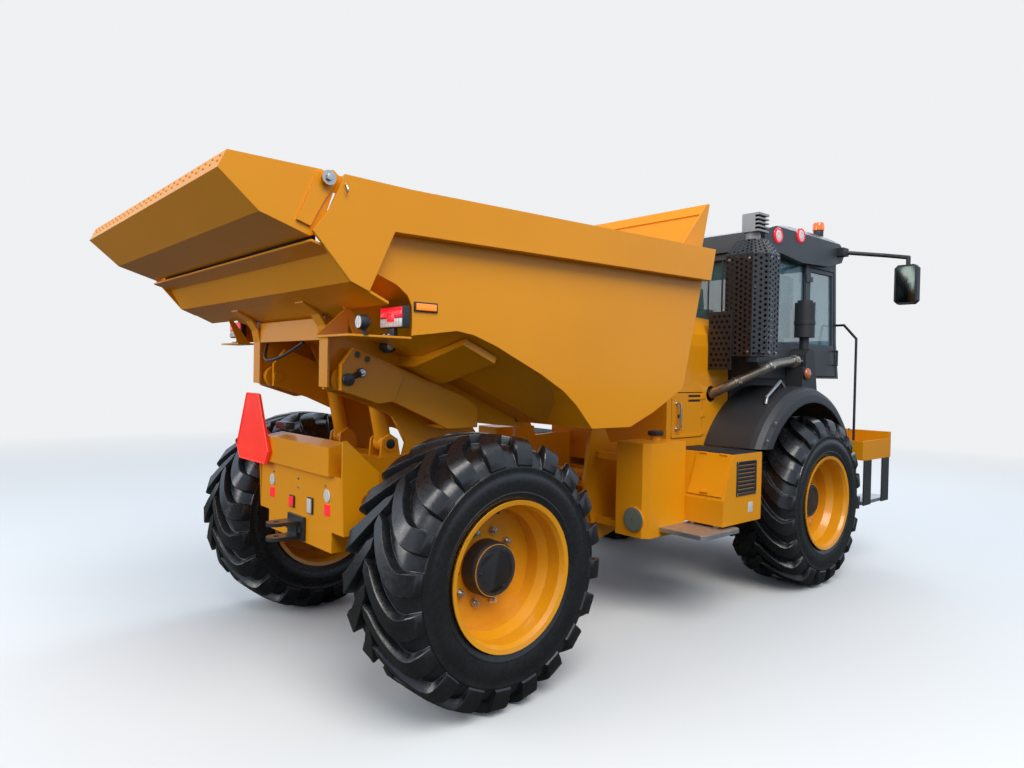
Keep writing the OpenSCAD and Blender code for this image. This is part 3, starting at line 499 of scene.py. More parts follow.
def makeTyre(end, x, sideName, side, s):
    shape = Shape()
    profile = [(r, y) for r, y in s["carcass"][::-1]] + [(r, -y) for r, y in s["carcass"][1:]]
    count = s["segments"]
    rows = [[shape.mesh.verts.new(wheelPoint(x, side, r, y, 2 * math.pi * i / count))
             for r, y in profile] for i in range(count)]
    for i in range(count):
        a, b = rows[i], rows[(i + 1) % count]
        for j in range(len(profile) - 1):
            shape.mesh.faces.new((a[j], a[j + 1], b[j + 1], b[j]))
    middle, reach, start = s["lugRadius"], s["lugReach"], s["lugStart"]

    def sweepAt(v):
        t = min(max(v, 0) / s["sweepEnd"], 1)
        return math.radians(s["sweep"]) * (1 - (1 - t) ** s["sweepCurve"])

    for hand in (1, -1):
        for k in range(s["lugs"]):
            turn = 2 * math.pi * (k + (0.5 if hand < 0 else 0)) / s["lugs"]
            sections = []
            for j in range(s["stations"] + 1):
                v = start + (1 - start) * j / s["stations"]
                width = alongTable(s["width"], v)[0]
                slope = (sweepAt(v + 0.02) - sweepAt(v - 0.02)) / 0.04 * middle / reach
                norm = math.hypot(1, slope)
                du, dv = 1 / norm, slope / norm
                section = []
                for across, level in s["section"]:
                    vv = v + across * width * dv / reach
                    angle = turn - sweepAt(v) + across * width * du / middle
                    low = alongTable(s["base"], abs(vv))
                    high = alongTable(s["top"], abs(vv))
                    sign = hand if vv >= 0 else -hand
                    r = low[0] + (high[0] - low[0]) * level
                    y = (low[1] + (high[1] - low[1]) * level) * sign
                    section.append(shape.mesh.verts.new(wheelPoint(x, side, r, y, angle)))
                sections.append(section)
            for a, b in zip(sections, sections[1:]):
                for j in range(5):
                    shape.mesh.faces.new((a[j], a[j + 1], b[j + 1], b[j]))
            shape.mesh.faces.new(sections[0])
            shape.mesh.faces.new(sections[-1][::-1])
    shape.done(f"tread_{end}_{sideName}", [tyreRubber], f"wheel_{end}_{sideName}", "tread", 32,
               [f"tyre_{end}_{sideName}"])


hubPlastic, hubPaint, hubSteel = range(3)
hubSettings = {
    "capRadius": 139.5, "capEdge": 13, "boltCircle": 185, "bolts": 10,
    "boltDiscs": ((44, 0.0165, 0.004, 24, 0), (45, 0.0115, 0.016, 20, 0.002),
                  (30, 0.021, 0.004, 24, 0)),
    "capBolts": 3, "valve": ((300, -60), (300, -10), (280, 20)), "valveTurn": 0.3,
}


def makeHub(end, x, sideName, side, s):
    shape = Shape()
    axis = (0, side, 0)

    def place(r, y, a):
        return wheelPoint(x, side, r, side * y, a)

    cap = s["capRadius"] / 1000
    shape.disc(place(0, 31, 0), axis, cap, 0.082, hubPlastic, 64)
    shape.disc(place(0, 113, 0), axis, cap, 0.018, hubPlastic, 64,
               top=(s["capRadius"] - s["capEdge"]) / 1000, bevel=0.003)
    shape.disc(place(0, 129, 0), axis, 0.112, 0.002, hubPlastic, 64, bevel=0.001)
    for i in range(s["bolts"]):
        a = 2 * math.pi * i / s["bolts"] + math.pi / 2
        for y, radius, height, segments, bevel in s["boltDiscs"]:
            shape.disc(place(s["boltCircle"], y, a), axis, radius, height, hubSteel, segments,
                       bevel=bevel)
    for i in range(s["capBolts"]):
        shape.bolt(place(100, 130, 2 * math.pi * i / s["capBolts"] + 0.5), axis, 0.007, hubPaint)
    turn = s["valveTurn"]
    shape.pipe([place(r, y, turn) for r, y in s["valve"]], 0.006, hubPlastic, 10)
    shape.disc(place(278, 20, turn), axis, 0.009, 0.022, hubPlastic, 16)
    shape.done(f"hub_{end}_{sideName}", [blackPlastic, blackPaint, boltSteel],
               f"wheel_{end}_{sideName}", "dark_plastic", 40)


for end, x in wheelSettings["places"]:
    for sideName, side in (("left", 1), ("right", -1)):
        makeTyre(end, x, sideName, side, tyreSettings)
        makeHub(end, x, sideName, side, hubSettings)
print("wheels made")

# The exhaust guard is of perforated sheet.
guardBlack, guardBolt, guardHoleShade = range(3)
guardSettings = {
    "low": [(2580, -730), (2580, -960), (2670, -1040), (2830, -1040), (2830, -730)],
    "top": [(2640, -790), (2640, -922), (2688, -970), (2780, -970), (2780, -790)],
    "heights": (1805, 2580, 2695), "thick": 3, "pitch": 40, "hole": 11.5, "topHole": 9,
    "topPitch": 30, "stack": (2710, -880), "stackRings": (2020, 2330),
    "sheets": [((2581, -733, 1805), (2829, -730, 2580), 0.0),
               ((2565, -800, 1700), (2580, -600, 2150), 0.002),
               ((2585, -735, 1850), (2630, -600, 1880), 0.002),
               ((2600, -1035, 1830), (2780, -733, 1836), 0.0)],
    "plateHoleShades": (10, 4), "louvres": (2765, 2795, 2825, 2855),
    "backBolts": ((-760, 1840), (-760, 2540), (-930, 1840), (-930, 2540)),
    "sideBolts": ((2700, 1835), (2800, 1835), (2700, 2550), (2800, 2550)),
}


def perforate(shape, corners, inward, thick, pitch, hole, sides=12):
    lowA, lowB, highA, highB = corners
    width = ((lowB - lowA).length + (highB - highA).length) / 2
    height = ((highA - lowA).length + (highB - lowB).length) / 2
    columns = max(2, round(width / pitch))
    rows = max(2, round(height / pitch))

    def spot(u, v, depth):
        return lowA.lerp(lowB, u).lerp(highA.lerp(highB, u), v) + inward * depth

    cell = (1 / columns, 1 / rows)
    for i in range(columns):
        shift = 0.5 * (i % 2)
        spans = [(j + shift, j + shift + 1, True) for j in range(rows - (i % 2))]
        if i % 2:
            spans += [(0, 0.5, False), (rows - 0.5, rows, False)]
        for v0, v1, pierced in spans:
            if not pierced:
                for depth, flip in ((0, False), (thick, True)):
                    face = [spot(u * cell[0], v * cell[1], depth) for u, v in
                            ((i, v0), (i + 1, v0), (i + 1, v1), (i, v1))]
                    if flip:
                        face.reverse()
                    shape.mesh.faces.new([shape.mesh.verts.new(p) for p in face])
                continue
            cu, cv = (i + 0.5) * cell[0], (v0 + v1) / 2 * cell[1]
            wide = (lowB - lowA).lerp(highB - highA, cv).length
            rings = []
            for depth in (0, thick):
                outer, inner = [], []
                for k in range(sides):
                    a = 2 * math.pi * (k + 0.5) / sides
                    c, n = math.cos(a), math.sin(a)
                    m = 0.5 / max(abs(c), abs(n))
                    outer.append(shape.mesh.verts.new(spot(cu + c * m * cell[0],
                                                           cv + n * m * cell[1], depth)))
                    inner.append(shape.mesh.verts.new(spot(cu + c * hole / wide,
                                                           cv + n * hole / height, depth)))
                rings.append((outer, inner))
            corner = []
            for depth in (0, thick):
                corner.append([shape.mesh.verts.new(spot((i + du) * cell[0], vv * cell[1],
                                                         depth))
                               for du, vv in ((1, v1), (0, v1), (0, v0), (1, v0))])
            for (outer, inner), tips, flip in zip(rings, corner, (False, True)):
                for k in range(sides):
                    m = (k + 1) % sides
                    a = 2 * math.pi * (k + 1) / sides
                    loop = [inner[k], outer[k], outer[m], inner[m]]
                    quarter = a / (math.pi / 4)
                    if abs(quarter - round(quarter)) < 1e-6 and round(quarter) % 2:
                        loop.insert(2, tips[(round(quarter) - 1) // 2])
                    if flip:
                        loop.reverse()
                    shape.mesh.faces.new(loop)
            for k in range(sides):
                m = (k + 1) % sides
                shape.mesh.faces.new((rings[0][1][k], rings[0][1][m], rings[1][1][m],
                                      rings[1][1][k]))


def makeGuard(s):
    shape = Shape()
    low, high, top = s["heights"]
    stackX, stackY = s["stack"]
    centre = at(stackX, stackY, 2200)
    for i in range(4):
        for heights, lower, upper, hole in (((low, high), s["low"], s["low"], s["hole"]),
                                            ((high, top), s["low"], s["top"], s["topHole"])):
            corners = [at(*lower[i], heights[0]), at(*lower[i + 1], heights[0]),
                       at(*upper[i], heights[1]), at(*upper[i + 1], heights[1])]
            flat = (corners[1] - corners[0]).cross(corners[2] - corners[0]).normalized()
            inward = flat if flat.dot(centre - corners[0]) > 0 else -flat
            pitch = s["pitch"] if heights[0] == low else s["topPitch"]
            perforate(shape, corners, inward, s["thick"] / 1000, pitch / 1000, hole / 1000)
    for a, b, bevel in s["sheets"]:
        shape.box(at(*a), at(*b), guardBlack, bevel)
    # Black dots on the back plate stand in for the shade inside holes: painted shade.
    rows, columns = s["plateHoleShades"]
    for row in range(rows):
        for column in range(columns):
            shape.disc(at(2564.6, -630 - column * 44 - (row % 2) * 22, 1735 + row * 42),
                       (-1, 0, 0), 0.012, 0.0006, guardHoleShade, 14)
    # Black slots above stand in for the shade in louvre gaps: painted shade.
    for z in s["louvres"]:
        shape.box(at(2641, -940, z), at(2756, -934.6, z + 18), guardHoleShade)
        shape.box(at(2754.6, -950, z), at(2760, -840, z + 18), guardHoleShade)
    shape.disc(at(stackX, stackY, 1765), (0, 0, 1), 0.06, 0.925, guardBlack, 40)
    shape.ring(at(stackX, stackY, 2692), (0, 0, 1), 0.062, 0.005, guardBlack)
    for z in s["stackRings"]:
        shape.ring(at(stackX, stackY, z), (0, 0, 1), 0.061, 0.004, guardBolt)
    for y, z in s["backBolts"]:
        shape.bolt(at(2581, y, z), (-1, 0, 0), 0.007, guardBolt)
    for x, z in s["sideBolts"]:
        shape.bolt(at(x, -1040, z), (0, -1, 0), 0.007, guardBolt)
    shape.done("guardSheets", [blackPaint, boltSteel, paintedHoleShade], "front_unit", "dark_metal", 30,
               ["exhaust_guard"])


makeGuard(guardSettings)
print("guard made")

# Lamps. The numbers name the materials of a lamp set in their order.
lampMaterials = [blackPlastic, redLens, orangeLens, clearLens, lampWhite, boltSteel, amberLens,
                 beaconLens]
(blackPart, redPart, orangePart, clearPart, whitePart, boltPart, amberPart,
 beaconPart) = range(8)

# Each block: x, y and z from and to, material, rounding.
tailLampSettings = {
    "blocks": [
        (-538, -500, 868, 1062, 1845, 1945, blackPart, 0.006),
        (-543, -534, 874, 1056, 1893, 1940, redPart, 0.003),
        (-543, -534, 874, 1056, 1850, 1889, clearPart, 0.003),
        (-546, -538, 934, 998, 1872, 1910, redPart, 0.003),
        (-560, -490, 910, 980, 1806, 1812, blackPart, 0.002),
        (-530, -510, 915, 975, 1806, 1846, blackPart, 0.002),
        (-475, -345, 1050, 1058, 1922, 1967, blackPart, 0.003),
        (-466, -354, 1056, 1062, 1929, 1960, orangePart, 0.003),
    ],
    "beads": 9, "beadStart": 888, "beadPitch": 19.25,
    "beadRows": ((1859, whitePart), (1871, whitePart), (1925, redPart)),
    "workLamp": (-1028, 1860),
}


def makeTailLamps(s):
    shape = Shape()
    back, ahead = (-1, 0, 0), (1, 0, 0)
    for hand in (1, -1):
        for x0, x1, y0, y1, z0, z1, part, bevel in s["blocks"]:
            shape.box(*ordered(at(x0, y0 * hand, z0), at(x1, y1 * hand, z1)), part, bevel)
        for i in range(s["beads"]):
            y = (s["beadStart"] + i * s["beadPitch"]) * hand
            for z, part in s["beadRows"]:
                shape.disc(at(-543, y, z), back, 0.005, 0.002, part, 12)
        for y in (925, 965):
            shape.bolt(at(-550, y * hand, 1812), (0, 0, 1), 0.006, boltPart)
    y, z = s["workLamp"]
    shape.disc(at(-743, y, z), ahead, 0.034, 0.034, blackPart, 32, bevel=0.003)
    shape.disc(at(-709, y, z), ahead, 0.034, 0.018, blackPart, 32, top=0.02)
    shape.ring(at(-742, y, z), ahead, 0.030, 0.003, blackPart, 32, 8)
    shape.disc(at(-743.5, y, z), ahead, 0.027, 0.004, clearPart, 32)
    shape.disc(at(-744.5, y, z), ahead, 0.010, 0.002, whitePart, 20)
    shape.disc(at(-715, y, 1806), (0, 0, 1), 0.010, 0.026, blackPart, 16)
    shape.box(at(-727, y - 26, 1806), at(-703, y + 26, 1811), blackPart, 0.002)
    shape.done("tailLampSet", lampMaterials, "dump_unit", "lamp", 35, ["tail_lamps"])


bumperLampSettings = {
    "lamps": ((40, 100, 862, 930, redPart), (-190, -130, 860, 950, clearPart)),
    "reflectorY": 350, "bolts": ((330, 1035), (-330, 1035), (0, 1035), (0, 985)),
}


def makeBumperLamps(s):
    shape = Shape()
    back = (-1, 0, 0)
    for y0, y1, z0, z1, part in s["lamps"]:
        shape.box(at(-540, y0, z0), at(-530, y1, z1), blackPart, 0.003)
        shape.box(at(-545, y0 + 6, z0 + 6), at(-538, y1 - 6, z1 - 6), part, 0.002)
    for hand in (1, -1):
        # Reflectors in the glowing red and clear lens finishes: painted glow on parts that are no
        # lamps.
        y = s["reflectorY"] * hand
        shape.box(at(-535, y - 30, 880), at(-530, y + 30, 940), redPart, 0.002)
        shape.disc(at(-531, y, 985), back, 0.034, 0.004, whitePart, 32, bevel=0.001)
        shape.disc(at(-534, y, 985), back, 0.028, 0.003, clearPart, 32)
    for y, z in s["bolts"]:
        shape.bolt(at(-530, y, z), back, 0.006, boltPart)
    shape.done("bumperLampSet", lampMaterials, "rear_unit", "lamp", 35, ["bumper_lamps"])


frontLampSettings = {
    "roof": ((3043, 2777), (3411, 2829)), "roofY": 900, "beads": 6, "beadCircle": 24,
    "head": (980, 1060), "turn": (1110, 1060), "beacon": (3945, -795), "side": (3365, 1686),
}


def makeFrontLamps(s):
    shape = Shape()
    ahead, up, right = (1, 0, 0), (0, 0, 1), (0, -1, 0)
    for hand in (1, -1):
        axis = (0, hand, 0)
        for x, z in s["roof"]:
            y = s["roofY"]
            shape.disc(at(x, y * hand, z), axis, 0.062, 0.008, redPart, 48, top=0.058)
            shape.ring(at(x, (y + 7) * hand, z), axis, 0.052, 0.008, redPart, 48, 10)
            shape.disc(at(x, (y + 4) * hand, z), axis, 0.044, 0.006, whitePart, 40)
            shape.disc(at(x, (y + 9) * hand, z), axis, 0.038, 0.003, clearPart, 40, bevel=0.001)
            for k in range(s["beads"]):
                a = 2 * math.pi * k / s["beads"]
                shape.disc(at(x + s["beadCircle"] * math.cos(a), (y + 12) * hand,
                              z + s["beadCircle"] * math.sin(a)), axis, 0.008, 0.0025,
                           whitePart, 16)
        y, z = s["head"]
        shape.disc(at(4615, y * hand, z), ahead, 0.065, 0.024, blackPart, 40, bevel=0.003)
        shape.ring(at(4640, y * hand, z), ahead, 0.057, 0.006, whitePart, 40, 10)
        shape.disc(at(4638, y * hand, z), ahead, 0.052, 0.010, clearPart, 40, bevel=0.003)
        y, z = s["turn"]
        shape.disc(at(4615, y * hand, z), ahead, 0.040, 0.014, blackPart, 32)
        shape.disc(at(4628, y * hand, z), ahead, 0.035, 0.012, orangePart, 32, bevel=0.003)
    x, y = s["beacon"]
    shape.disc(at(x, y, 2900), up, 0.042, 0.060, blackPart, 40, bevel=0.004)
    shape.disc(at(x, y, 2958), up, 0.050, 0.062, beaconPart, 40, top=0.046, bevel=0.005)
    shape.disc(at(x, y, 3018), up, 0.040, 0.008, beaconPart, 40, bevel=0.002)
    x, z = s["side"]
    shape.disc(at(x, -1000, z), right, 0.050, 0.012, blackPart, 40)
    shape.disc(at(x, -1011, z), right, 0.045, 0.017, amberPart, 40, top=0.038, bevel=0.003)
    shape.done("frontLampSet", lampMaterials, "front_unit", "lamp", 35, ["front_lamps"])


markerSettings = {
    "edge": [(356, 1081), (746, 1081), (798, 1158), (644, 1490), (458, 1490), (304, 1158)],
    "x": -579, "rim": 0.006,
}


def makeMarker(s):
    shape = Shape()
    edge, x = s["edge"], s["x"]
    # The rim takes the marker red with its painted glow.
    for a, b in zip(edge, edge[1:] + edge[:1]):
        shape.pipe([at(x, *a), at(x, *b)], s["rim"], 0, 8)
    shape.box(at(x - 3, 322, 1150), at(x, 780, 1154), 0)
    shape.done("markerRim", [glowingMarkerRed], "rear_unit", "cone", 35)


makeMarker(markerSettings)
makeTailLamps(tailLampSettings)
makeBumperLamps(bumperLampSettings)
makeFrontLamps(frontLampSettings)
print("lamps made")

# Pins, keepers and bolts.
hardwareMaterials = [blackPaint, boltSteel, paint]
blackPin, steelPin, paintedPin = range(3)

rearPinSettings = {
    "tipPin": (-520, 1600), "earFace": 522, "keeper": (0.078, 0, 0.036),
    "earHoles": ((-464, 1728), (-406, 1706)),
    "footPin": (-130, 1235), "footFace": 311,
    "cover": ((-500, 250, 1286), (-440, 400, 1330)),
}


def makeRearPins(s):
    shape = Shape()
    tipX, tipZ = s["tipPin"]
    footX, footZ = s["footPin"]
    keeper = Vector(s["keeper"])
    for hand in (1, -1):
        axis = (0, hand, 0)
        y = s["earFace"] * hand
        shape.disc(at(tipX, y, tipZ), axis, 0.032, 0.026, blackPin, 40, bevel=0.003)
        middle = at(tipX, y + 12 * hand, tipZ)
        end = middle + keeper
        shape.pipe([middle, end], 0.015, blackPin, 8, 0)
        shape.disc(end - Vector((0, 0.012 * hand, 0)), axis, 0.024, 0.018, blackPin, 28,
                   bevel=0.002)
        shape.bolt(end + Vector((0, 0.006 * hand, 0)), axis, 0.013, steelPin)
        for x, z in s["earHoles"]:
            shape.disc(at(x, y, z), axis, 0.018, 0.001, blackPin, 32)
            shape.ring(at(x, y + 0.5 * hand, z), axis, 0.020, 0.004, paintedPin, 32, 8)
        foot = at(footX, s["footFace"] * hand, footZ)
        shape.disc(foot, axis, 0.046, 0.005, paintedPin, 40)
        shape.disc(foot, axis, 0.028, 0.010, blackPin, 32, bevel=0.002)
    shape.box(*(at(*p) for p in s["cover"]), blackPin, 0.010)
    shape.done("rearPins", hardwareMaterials, "rear_unit", "dark_metal", 35)


bodyPinSettings = {
    "pin": (-278, 1777), "pinFace": 480,
    "cable": [(-596, 300, 1790), (-640, 240, 1700), (-650, 120, 1690), (-640, -40, 1720),
              (-606, -200, 1790)],
    "cableRadius": 0.009,
}


def makeBodyPins(s):
    shape = Shape()
    x, z = s["pin"]
    for hand in (1, -1):
        axis = (0, hand, 0)
        shape.disc(at(x, s["pinFace"] * hand, z), axis, 0.036, 0.055, blackPin, 36, bevel=0.004)
        shape.bolt(at(x, (s["pinFace"] + 55) * hand, z), axis, 0.014, steelPin)
    shape.pipe([at(*p) for p in s["cable"]], s["cableRadius"], blackPin, 12, 4)
    shape.done("bodyPins", hardwareMaterials, "dump_unit", "dark_metal", 35)


flapEdgeSettings = {
    "edge": (-1330, -1040, 2461), "down": (-34, 0, -72), "out": (-72, 0, 34),
    "bolts": 27, "pitch": 80, "rows": (0.016, 0.040),
}


def makeFlapEdge(s):
    shape = Shape()
    x, y, z = s["edge"]
    down, out = Vector(s["down"]).normalized(), Vector(s["out"]).normalized()
    for i in range(s["bolts"]):
        for row in s["rows"]:
            place = at(x, y + i * s["pitch"], z) + down * row
            shape.disc(place - out * 0.001, out, 0.0075, 0.005, 0, 10, top=0.006)
    shape.done("flapEdgeBolts", [paint], "flap_unit", "paint", 35)


flapPinSettings = {
    "pin": (-935, 2425), "pinFace": 1119,
    "hook": ((-862, 1121, 2412), (-862, 1130, 2404), (-858, 1138, 2388), (-862, 1132, 2374)),
    "seal": ((-955, -1036, 2150), (-950, 1036, 2218)),
}


def makeFlapBolts(s):
    shape = Shape()
    x, z = s["pin"]
    for hand in (1, -1):
        axis = (0, hand, 0)
        shape.disc(at(x, s["pinFace"] * hand, z), axis, 0.030, 0.004, steelPin, 32)
        shape.bolt(at(x, (s["pinFace"] + 2) * hand, z), axis, 0.016, steelPin, washer=False)
        shape.pipe([at(hx, hy * hand, hz) for hx, hy, hz in s["hook"]], 0.004, steelPin, 8)
    shape.box(*(at(*p) for p in s["seal"]), blackPin)
    shape.done("flapPins", hardwareMaterials, "dump_unit", "bare_steel", 35)


makeRearPins(rearPinSettings)
makeBodyPins(bodyPinSettings)
makeFlapEdge(flapEdgeSettings)
makeFlapBolts(flapPinSettings)
print("pins made")

# Small fittings on the front unit.
fittingMaterials = [blackPlastic, blackPaint, boltSteel, paleGrey, blankPlate, galvanised]
plasticFit, blackFit, steelFit, greyFit, plateFit, zincFit = range(6)

toolFittingSettings = {
    "treads": 22, "treadStart": 2004, "treadPitch": 15.5,
    "frame": ((2024, 2042, 844, 1077), (2258, 2276, 844, 1077), (2024, 2276, 844, 860),
              (2024, 2276, 1061, 1077)),
    "louvres": 8, "louvreStart": 864, "louvrePitch": 27,
    "bolts": ((2033, 852), (2033, 1069), (2267, 852), (2267, 1069)),
}


def makeToolFittings(s):
    shape = Shape()
    for hand in (1, -1):

        def block(a, b, part, bevel=0.0):
            shape.box(*ordered(at(a[0], a[1] * hand, a[2]), at(b[0], b[1] * hand, b[2])), part,
                      bevel)

        for i in range(s["treads"]):
            x = s["treadStart"] + i * s["treadPitch"]
            block((x, 690, 1124), (x + 8, 1185, 1130), plasticFit)
        block((2000, 685, 1122), (2344, 1188, 1127), plasticFit)
        for x0, x1, z0, z1 in s["frame"]:
            block((x0, 1199, z0), (x1, 1206, z1), plasticFit, 0.002)
        for i in range(s["louvres"]):
            z = s["louvreStart"] + i * s["louvrePitch"]
            block((2040, 1198, z + 8), (2260, 1206, z + 22), plasticFit, 0.003)
            # Black strips behind the louvre gaps stand in for the shade inside the box: painted
            # shade.
            block((2040, 1192, z - 6), (2260, 1194, z + 10), plasticFit)
        for x, z in s["bolts"]:
            shape.bolt(at(x, 1206 * hand, z), (0, hand, 0), 0.005, steelFit)
        block((2180, 1199.5, 718), (2240, 1201.5, 790), plateFit, 0.001)
    shape.done("toolFittings", fittingMaterials, "front_unit", "dark_plastic", 35)


tankFittingSettings = {
    "disc": (800, 695), "cap": (1765, 720, 1229), "capRadius": 0.049, "grips": 18,
    "gripHalf": 0.004,
}


def makeTankFittings(s):
    shape = Shape()
    discY, discZ = s["disc"]
    capX, capY, capZ = s["cap"]
    back = (-1, 0, 0)
    for hand in (1, -1):
        y = discY * hand
        shape.disc(at(1441, y, discZ), back, 0.080, 0.004, greyFit, 48, bevel=0.001)
        shape.disc(at(1438, y, discZ), back, 0.070, 0.002, greyFit, 48)
        shape.disc(at(1436, y, discZ), back, 0.008, 0.003, steelFit, 16)
        cap = at(capX, capY * hand, capZ)
        shape.disc(cap, (0, 0, 1), 0.050, 0.034, plasticFit, 40, bevel=0.004)
        half = s["gripHalf"]
        for i in range(s["grips"]):
            a = 2 * math.pi * i / s["grips"]
            x, y = s["capRadius"] * math.cos(a), s["capRadius"] * math.sin(a)
            shape.box(cap + Vector((x - half, y - half, 0.004)),
                      cap + Vector((x + half, y + half, 0.028)), plasticFit)
    shape.done("tankFittings", fittingMaterials, "front_unit", "dark_plastic", 35)


fenderFittingSettings = {
    "handle": ((2828, 953, 1444), (2843, 953, 1497), (3096, 925, 1618), (3177, 913, 1572)),
    "handleRadius": 0.0128, "bolts": ((2600, 1180), (2712, 1308), (3962, 1215)),
}


def makeFenderFittings(s):
    shape = Shape()
    radius = s["handleRadius"]
    for hand in (1, -1):
        shape.pipe([at(x, y * hand, z) for x, y, z in s["handle"]], radius, zincFit, 16, 0)
        for x, y, z in s["handle"][1:3]:
            shape.disc(at(x, y * hand - 6, z), (0, 1, 0), radius, 0.012, zincFit, 16)
        for x, z in s["bolts"]:
            shape.bolt(at(x, 1100 * hand, z), (0, hand, 0), 0.009, steelFit)
    shape.done("fenderFittings", fittingMaterials, "front_unit", "bare_steel", 35)


exhaustSettings = {
    "route": ((2622, -590, 1508), (2650, -720, 1570), (2783, -880, 1680), (2910, -915, 1727),
              (3062, -915, 1762), (3360, -915, 1787)),
    "radius": 0.0385, "rounds": 4, "flexible": (2700, 2900), "ribsPerStep": 3,
    "collar": (3300, -915, 1782),
}


def makeExhaustPipe(s):
    shape = Shape()
    route = [at(*p) for p in s["route"]]
    shape.pipe(route, s["radius"], 0, 28, s["rounds"])
    start, end = (at(x, 0, 0).x for x in s["flexible"])
    flexible = [p for p in smoothRoute(route, s["rounds"]) if start < p.x < end]
    steps = s["ribsPerStep"]
    for a, b in zip(flexible, flexible[1:]):
        for k in range(steps):
            shape.ring(a.lerp(b, k / steps), b - a, 0.0378, 0.0018, 0, 28, 6)
    shape.disc(at(*s["collar"]), (1, 0, 0.083), 0.0455, 0.060, 0, 36, bevel=0.003)
    shape.done("exhaustPipe", [steelFinish], "front_unit", "bare_steel", 35, ["exhaust_pipe"])


# Each clamp: place, axis, radius.
clampSettings = (
    ((2690, -768, 1608), (0.55, -0.66, 0.45), 0.042),
    ((2915, -915, 1728), (0.93, -0.12, 0.26), 0.042),
    ((3306, -915, 1782), (1, 0, 0.08), 0.048),
    ((3348, -915, 1786), (1, 0, 0.08), 0.048),
)


def makePipeClamps(clamps):
    shape = Shape()
    for place, axis, radius in clamps:
        middle = at(*place)
        shape.ring(middle, axis, radius, 0.004, steelFit, 40, 8)
        shape.box(middle + Vector((-0.012, -radius - 0.018, -0.010)),
                  middle + Vector((0.012, -radius + 0.002, 0.010)), steelFit, 0.002)
    shape.done("pipeClamps", fittingMaterials, "front_unit", "bare_steel", 35)


serviceDoorSettings = {
    "handle": [(2170, 600, 1250), (2170, 636, 1250), (2170, 641, 1256), (2170, 641, 1434),
               (2170, 636, 1440), (2170, 600, 1440)],
    "handleRadius": 0.0098, "lock": (2200, 600, 1345), "slotShades": (1450, 1485),
}


def makeDoorFittings(hand, sideName, s):
    shape = Shape()
    axis = (0, hand, 0)
    route = [at(x, y * hand, z) for x, y, z in s["handle"]]
    shape.pipe(route, s["handleRadius"], steelFit, 14)
    for place in (route[0], route[-1]):
        shape.disc(place, axis, 0.018, 0.004, steelFit, 20)
    x, y, z = s["lock"]
    shape.disc(at(x, y * hand, z), axis, 0.014, 0.006, plasticFit, 20, bevel=0.002)
    # Black strips behind the door's slots stand in for the shade inside them: painted shade.
    for z in s["slotShades"]:
        shape.box(*ordered(at(2320, 592 * hand, z), at(2480, 596 * hand, z + 18)), blackFit)
    shape.done(f"serviceFittings_{sideName}", fittingMaterials, f"side_door_{sideName}",
               "bare_steel", 35)


mirrorSettings = {"x": (4311.5, 4315.5), "y": (1318, 1471), "z": (2318, 2625)}


def makeMirrorFaces(s):
    shape = Shape()
    for hand in (1, -1):
        low, high = sorted(y * hand for y in s["y"])
        shape.box(at(s["x"][0], low, s["z"][0]), at(s["x"][1], high, s["z"][1]), 0, 0.002)
    shape.done("mirrorFaces", [mirrorGlass], "front_unit", "clear", 35)


makeToolFittings(toolFittingSettings)
makeTankFittings(tankFittingSettings)
makeFenderFittings(fenderFittingSettings)
makeExhaustPipe(exhaustSettings)
makePipeClamps(clampSettings)
for hand, sideName in ((1, "left"), (-1, "right")):
    makeDoorFittings(hand, sideName, serviceDoorSettings)
makeMirrorFaces(mirrorSettings)
print("fittings made")

cabDetailSettings = {
    "wiperPivot": (4211, 0, 2010),
    "wiperArm": ((4222, 0, 2010), (4220, -120, 2180), (4206, -230, 2350)),
    "wiperBlade": ((4214, -256, 2190), (4194, -256, 2550)),
    "pane": ((2935, 1932), (3632, 1932), (3632, 2628), (3310, 2628), (2935, 2615)),
    "paneY": 836,
}


def makeCabDetails(s):
    shape = Shape()
    shape.disc(at(*s["wiperPivot"]), (1, 0, 0), 0.020, 0.010, plasticFit, 24)
    for route in (s["wiperArm"], s["wiperBlade"]):
        shape.pipe([at(*p) for p in route], 0.006, plasticFit, 8)
    pane = s["pane"]
    for hand in (1, -1):
        y = s["paneY"] * hand
        for a, b in zip(pane, pane[1:] + pane[:1]):
            shape.pipe([at(a[0], y, a[1]), at(b[0], y, b[1])], 0.008, plasticFit, 8)
    shape.done("cabSeals", fittingMaterials, "front_unit", "dark_plastic", 35)


makeCabDetails(cabDetailSettings)
print("cab details made")

stageSettings = {
    "size": 60.0, "pale": (0.70, 0.71, 0.71), "dark": (0.085, 0.09, 0.08), "fade": (5.0, 15.0),
    "backdrop": (0.86, 0.875, 0.89), "sky": (0.70, 0.83, 1.0), "skyStrength": 0.85,
    "lamps": [
        ("skyLight", (-4, -8, 11), (0, 0, 1.0), 9, 1350, (1.0, 0.95, 0.88)),
        ("fillLight", (9, 3, 8), (0, 0, 1.2), 7, 350, (0.93, 0.96, 1.0)),
        ("rearLight", (-11, 3, 5), (-1, 0, 1.5), 7, 520, (1.0, 0.97, 0.93)),
    ],
}


# Light rays meet the first shader and the camera sees the second.
def splitRays(tree, lit, seen, output):
    path = addNode(tree, "ShaderNodeLightPath")
    mix = addNode(tree, "ShaderNodeMixShader")
    link(tree, path.outputs["Is Camera Ray"], mix.inputs[0])
    link(tree, lit.outputs[0], mix.inputs[1])
    link(tree, seen.outputs[0], mix.inputs[2])
    link(tree, mix.outputs[0], tree.nodes[output].inputs["Surface"])


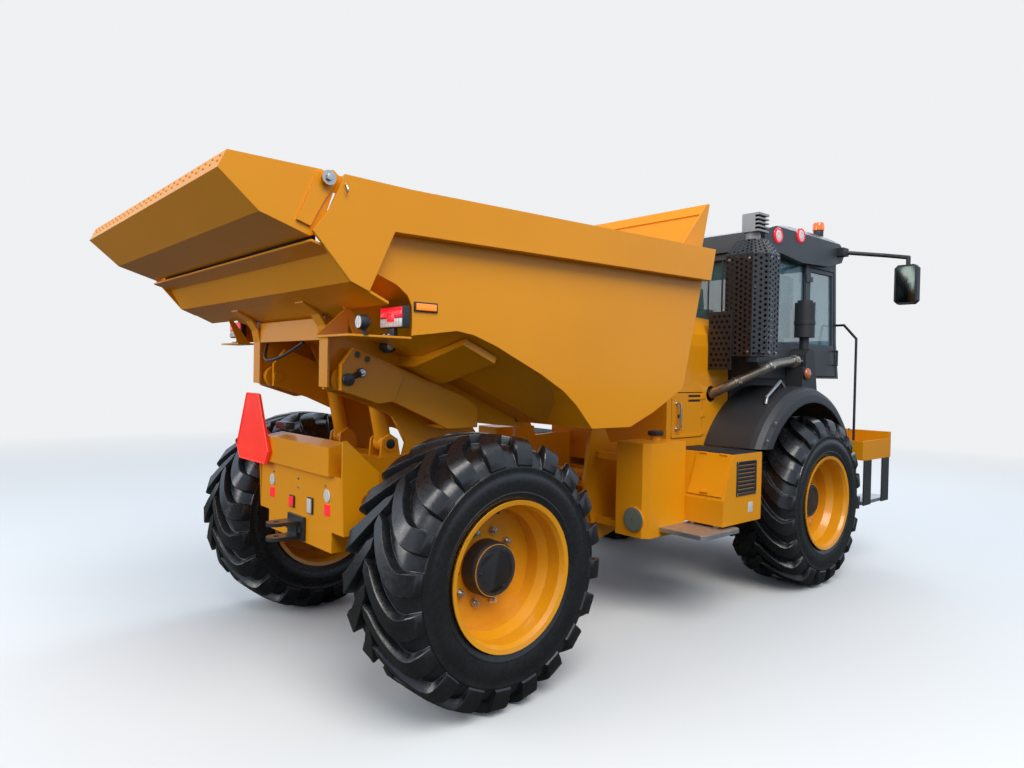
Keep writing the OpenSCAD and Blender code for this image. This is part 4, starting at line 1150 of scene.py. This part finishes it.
def makeStage(s):
    data = bpy.data.meshes.new("floor")
    h = s["size"]
    data.from_pydata([(-h, -h, 0), (h, -h, 0), (h, h, 0), (-h, h, 0)], [], [(0, 1, 2, 3)])
    floor = bpy.data.objects.new("floor", data)
    bpy.context.collection.objects.link(floor)
    material, tree, shader = newMaterial("floor")
    setInputs(shader, {"Base Color": rgba(s["pale"]), "Roughness": 0.9,
                       "Specular IOR Level": 0.0})
    # the camera sees a pale floor that fades into the backdrop, the truck is lit by a dark one
    distant = addNode(tree, "ShaderNodeEmission")
    setInputs(distant, {"Color": rgba(s["backdrop"])})
    away = addNode(tree, "ShaderNodeVectorMath", operation="LENGTH")
    place = addNode(tree, "ShaderNodeTexCoord")
    link(tree, place.outputs["Object"], away.inputs[0])
    fade = ramp(tree, away.outputs["Value"], s["fade"][0], s["fade"][1], 0.0, 1.0)
    seen = addNode(tree, "ShaderNodeMixShader")
    link(tree, fade, seen.inputs[0])
    link(tree, shader.outputs[0], seen.inputs[1])
    link(tree, distant.outputs[0], seen.inputs[2])
    dark = addNode(tree, "ShaderNodeBsdfDiffuse")
    setInputs(dark, {"Color": rgba(s["dark"])})
    splitRays(tree, dark, seen, "Material Output")
    data.materials.append(material)
    world = bpy.data.worlds.new("studio")
    bpy.context.scene.world = world
    world.use_nodes = True
    tree = world.node_tree
    light = tree.nodes["Background"]
    setInputs(light, {"Color": rgba(s["sky"]), "Strength": s["skyStrength"]})
    pale = addNode(tree, "ShaderNodeBackground")
    setInputs(pale, {"Color": rgba(s["backdrop"])})
    splitRays(tree, light, pale, "World Output")


def makeLamp(name, place, target, size, power, colour):
    data = bpy.data.lights.new(name, "AREA")
    data.shape = "DISK"
    data.size = size
    data.energy = power
    data.color = colour
    lamp = bpy.data.objects.new(name, data)
    lamp.location = place
    aim = Vector(target) - Vector(place)
    lamp.rotation_euler = aim.to_track_quat("-Z", "Y").to_euler()
    bpy.context.collection.objects.link(lamp)


makeStage(stageSettings)
for lamp in stageSettings["lamps"]:
    makeLamp(*lamp)
bpy.context.scene.view_settings.view_transform = "Standard"
print("stage set")
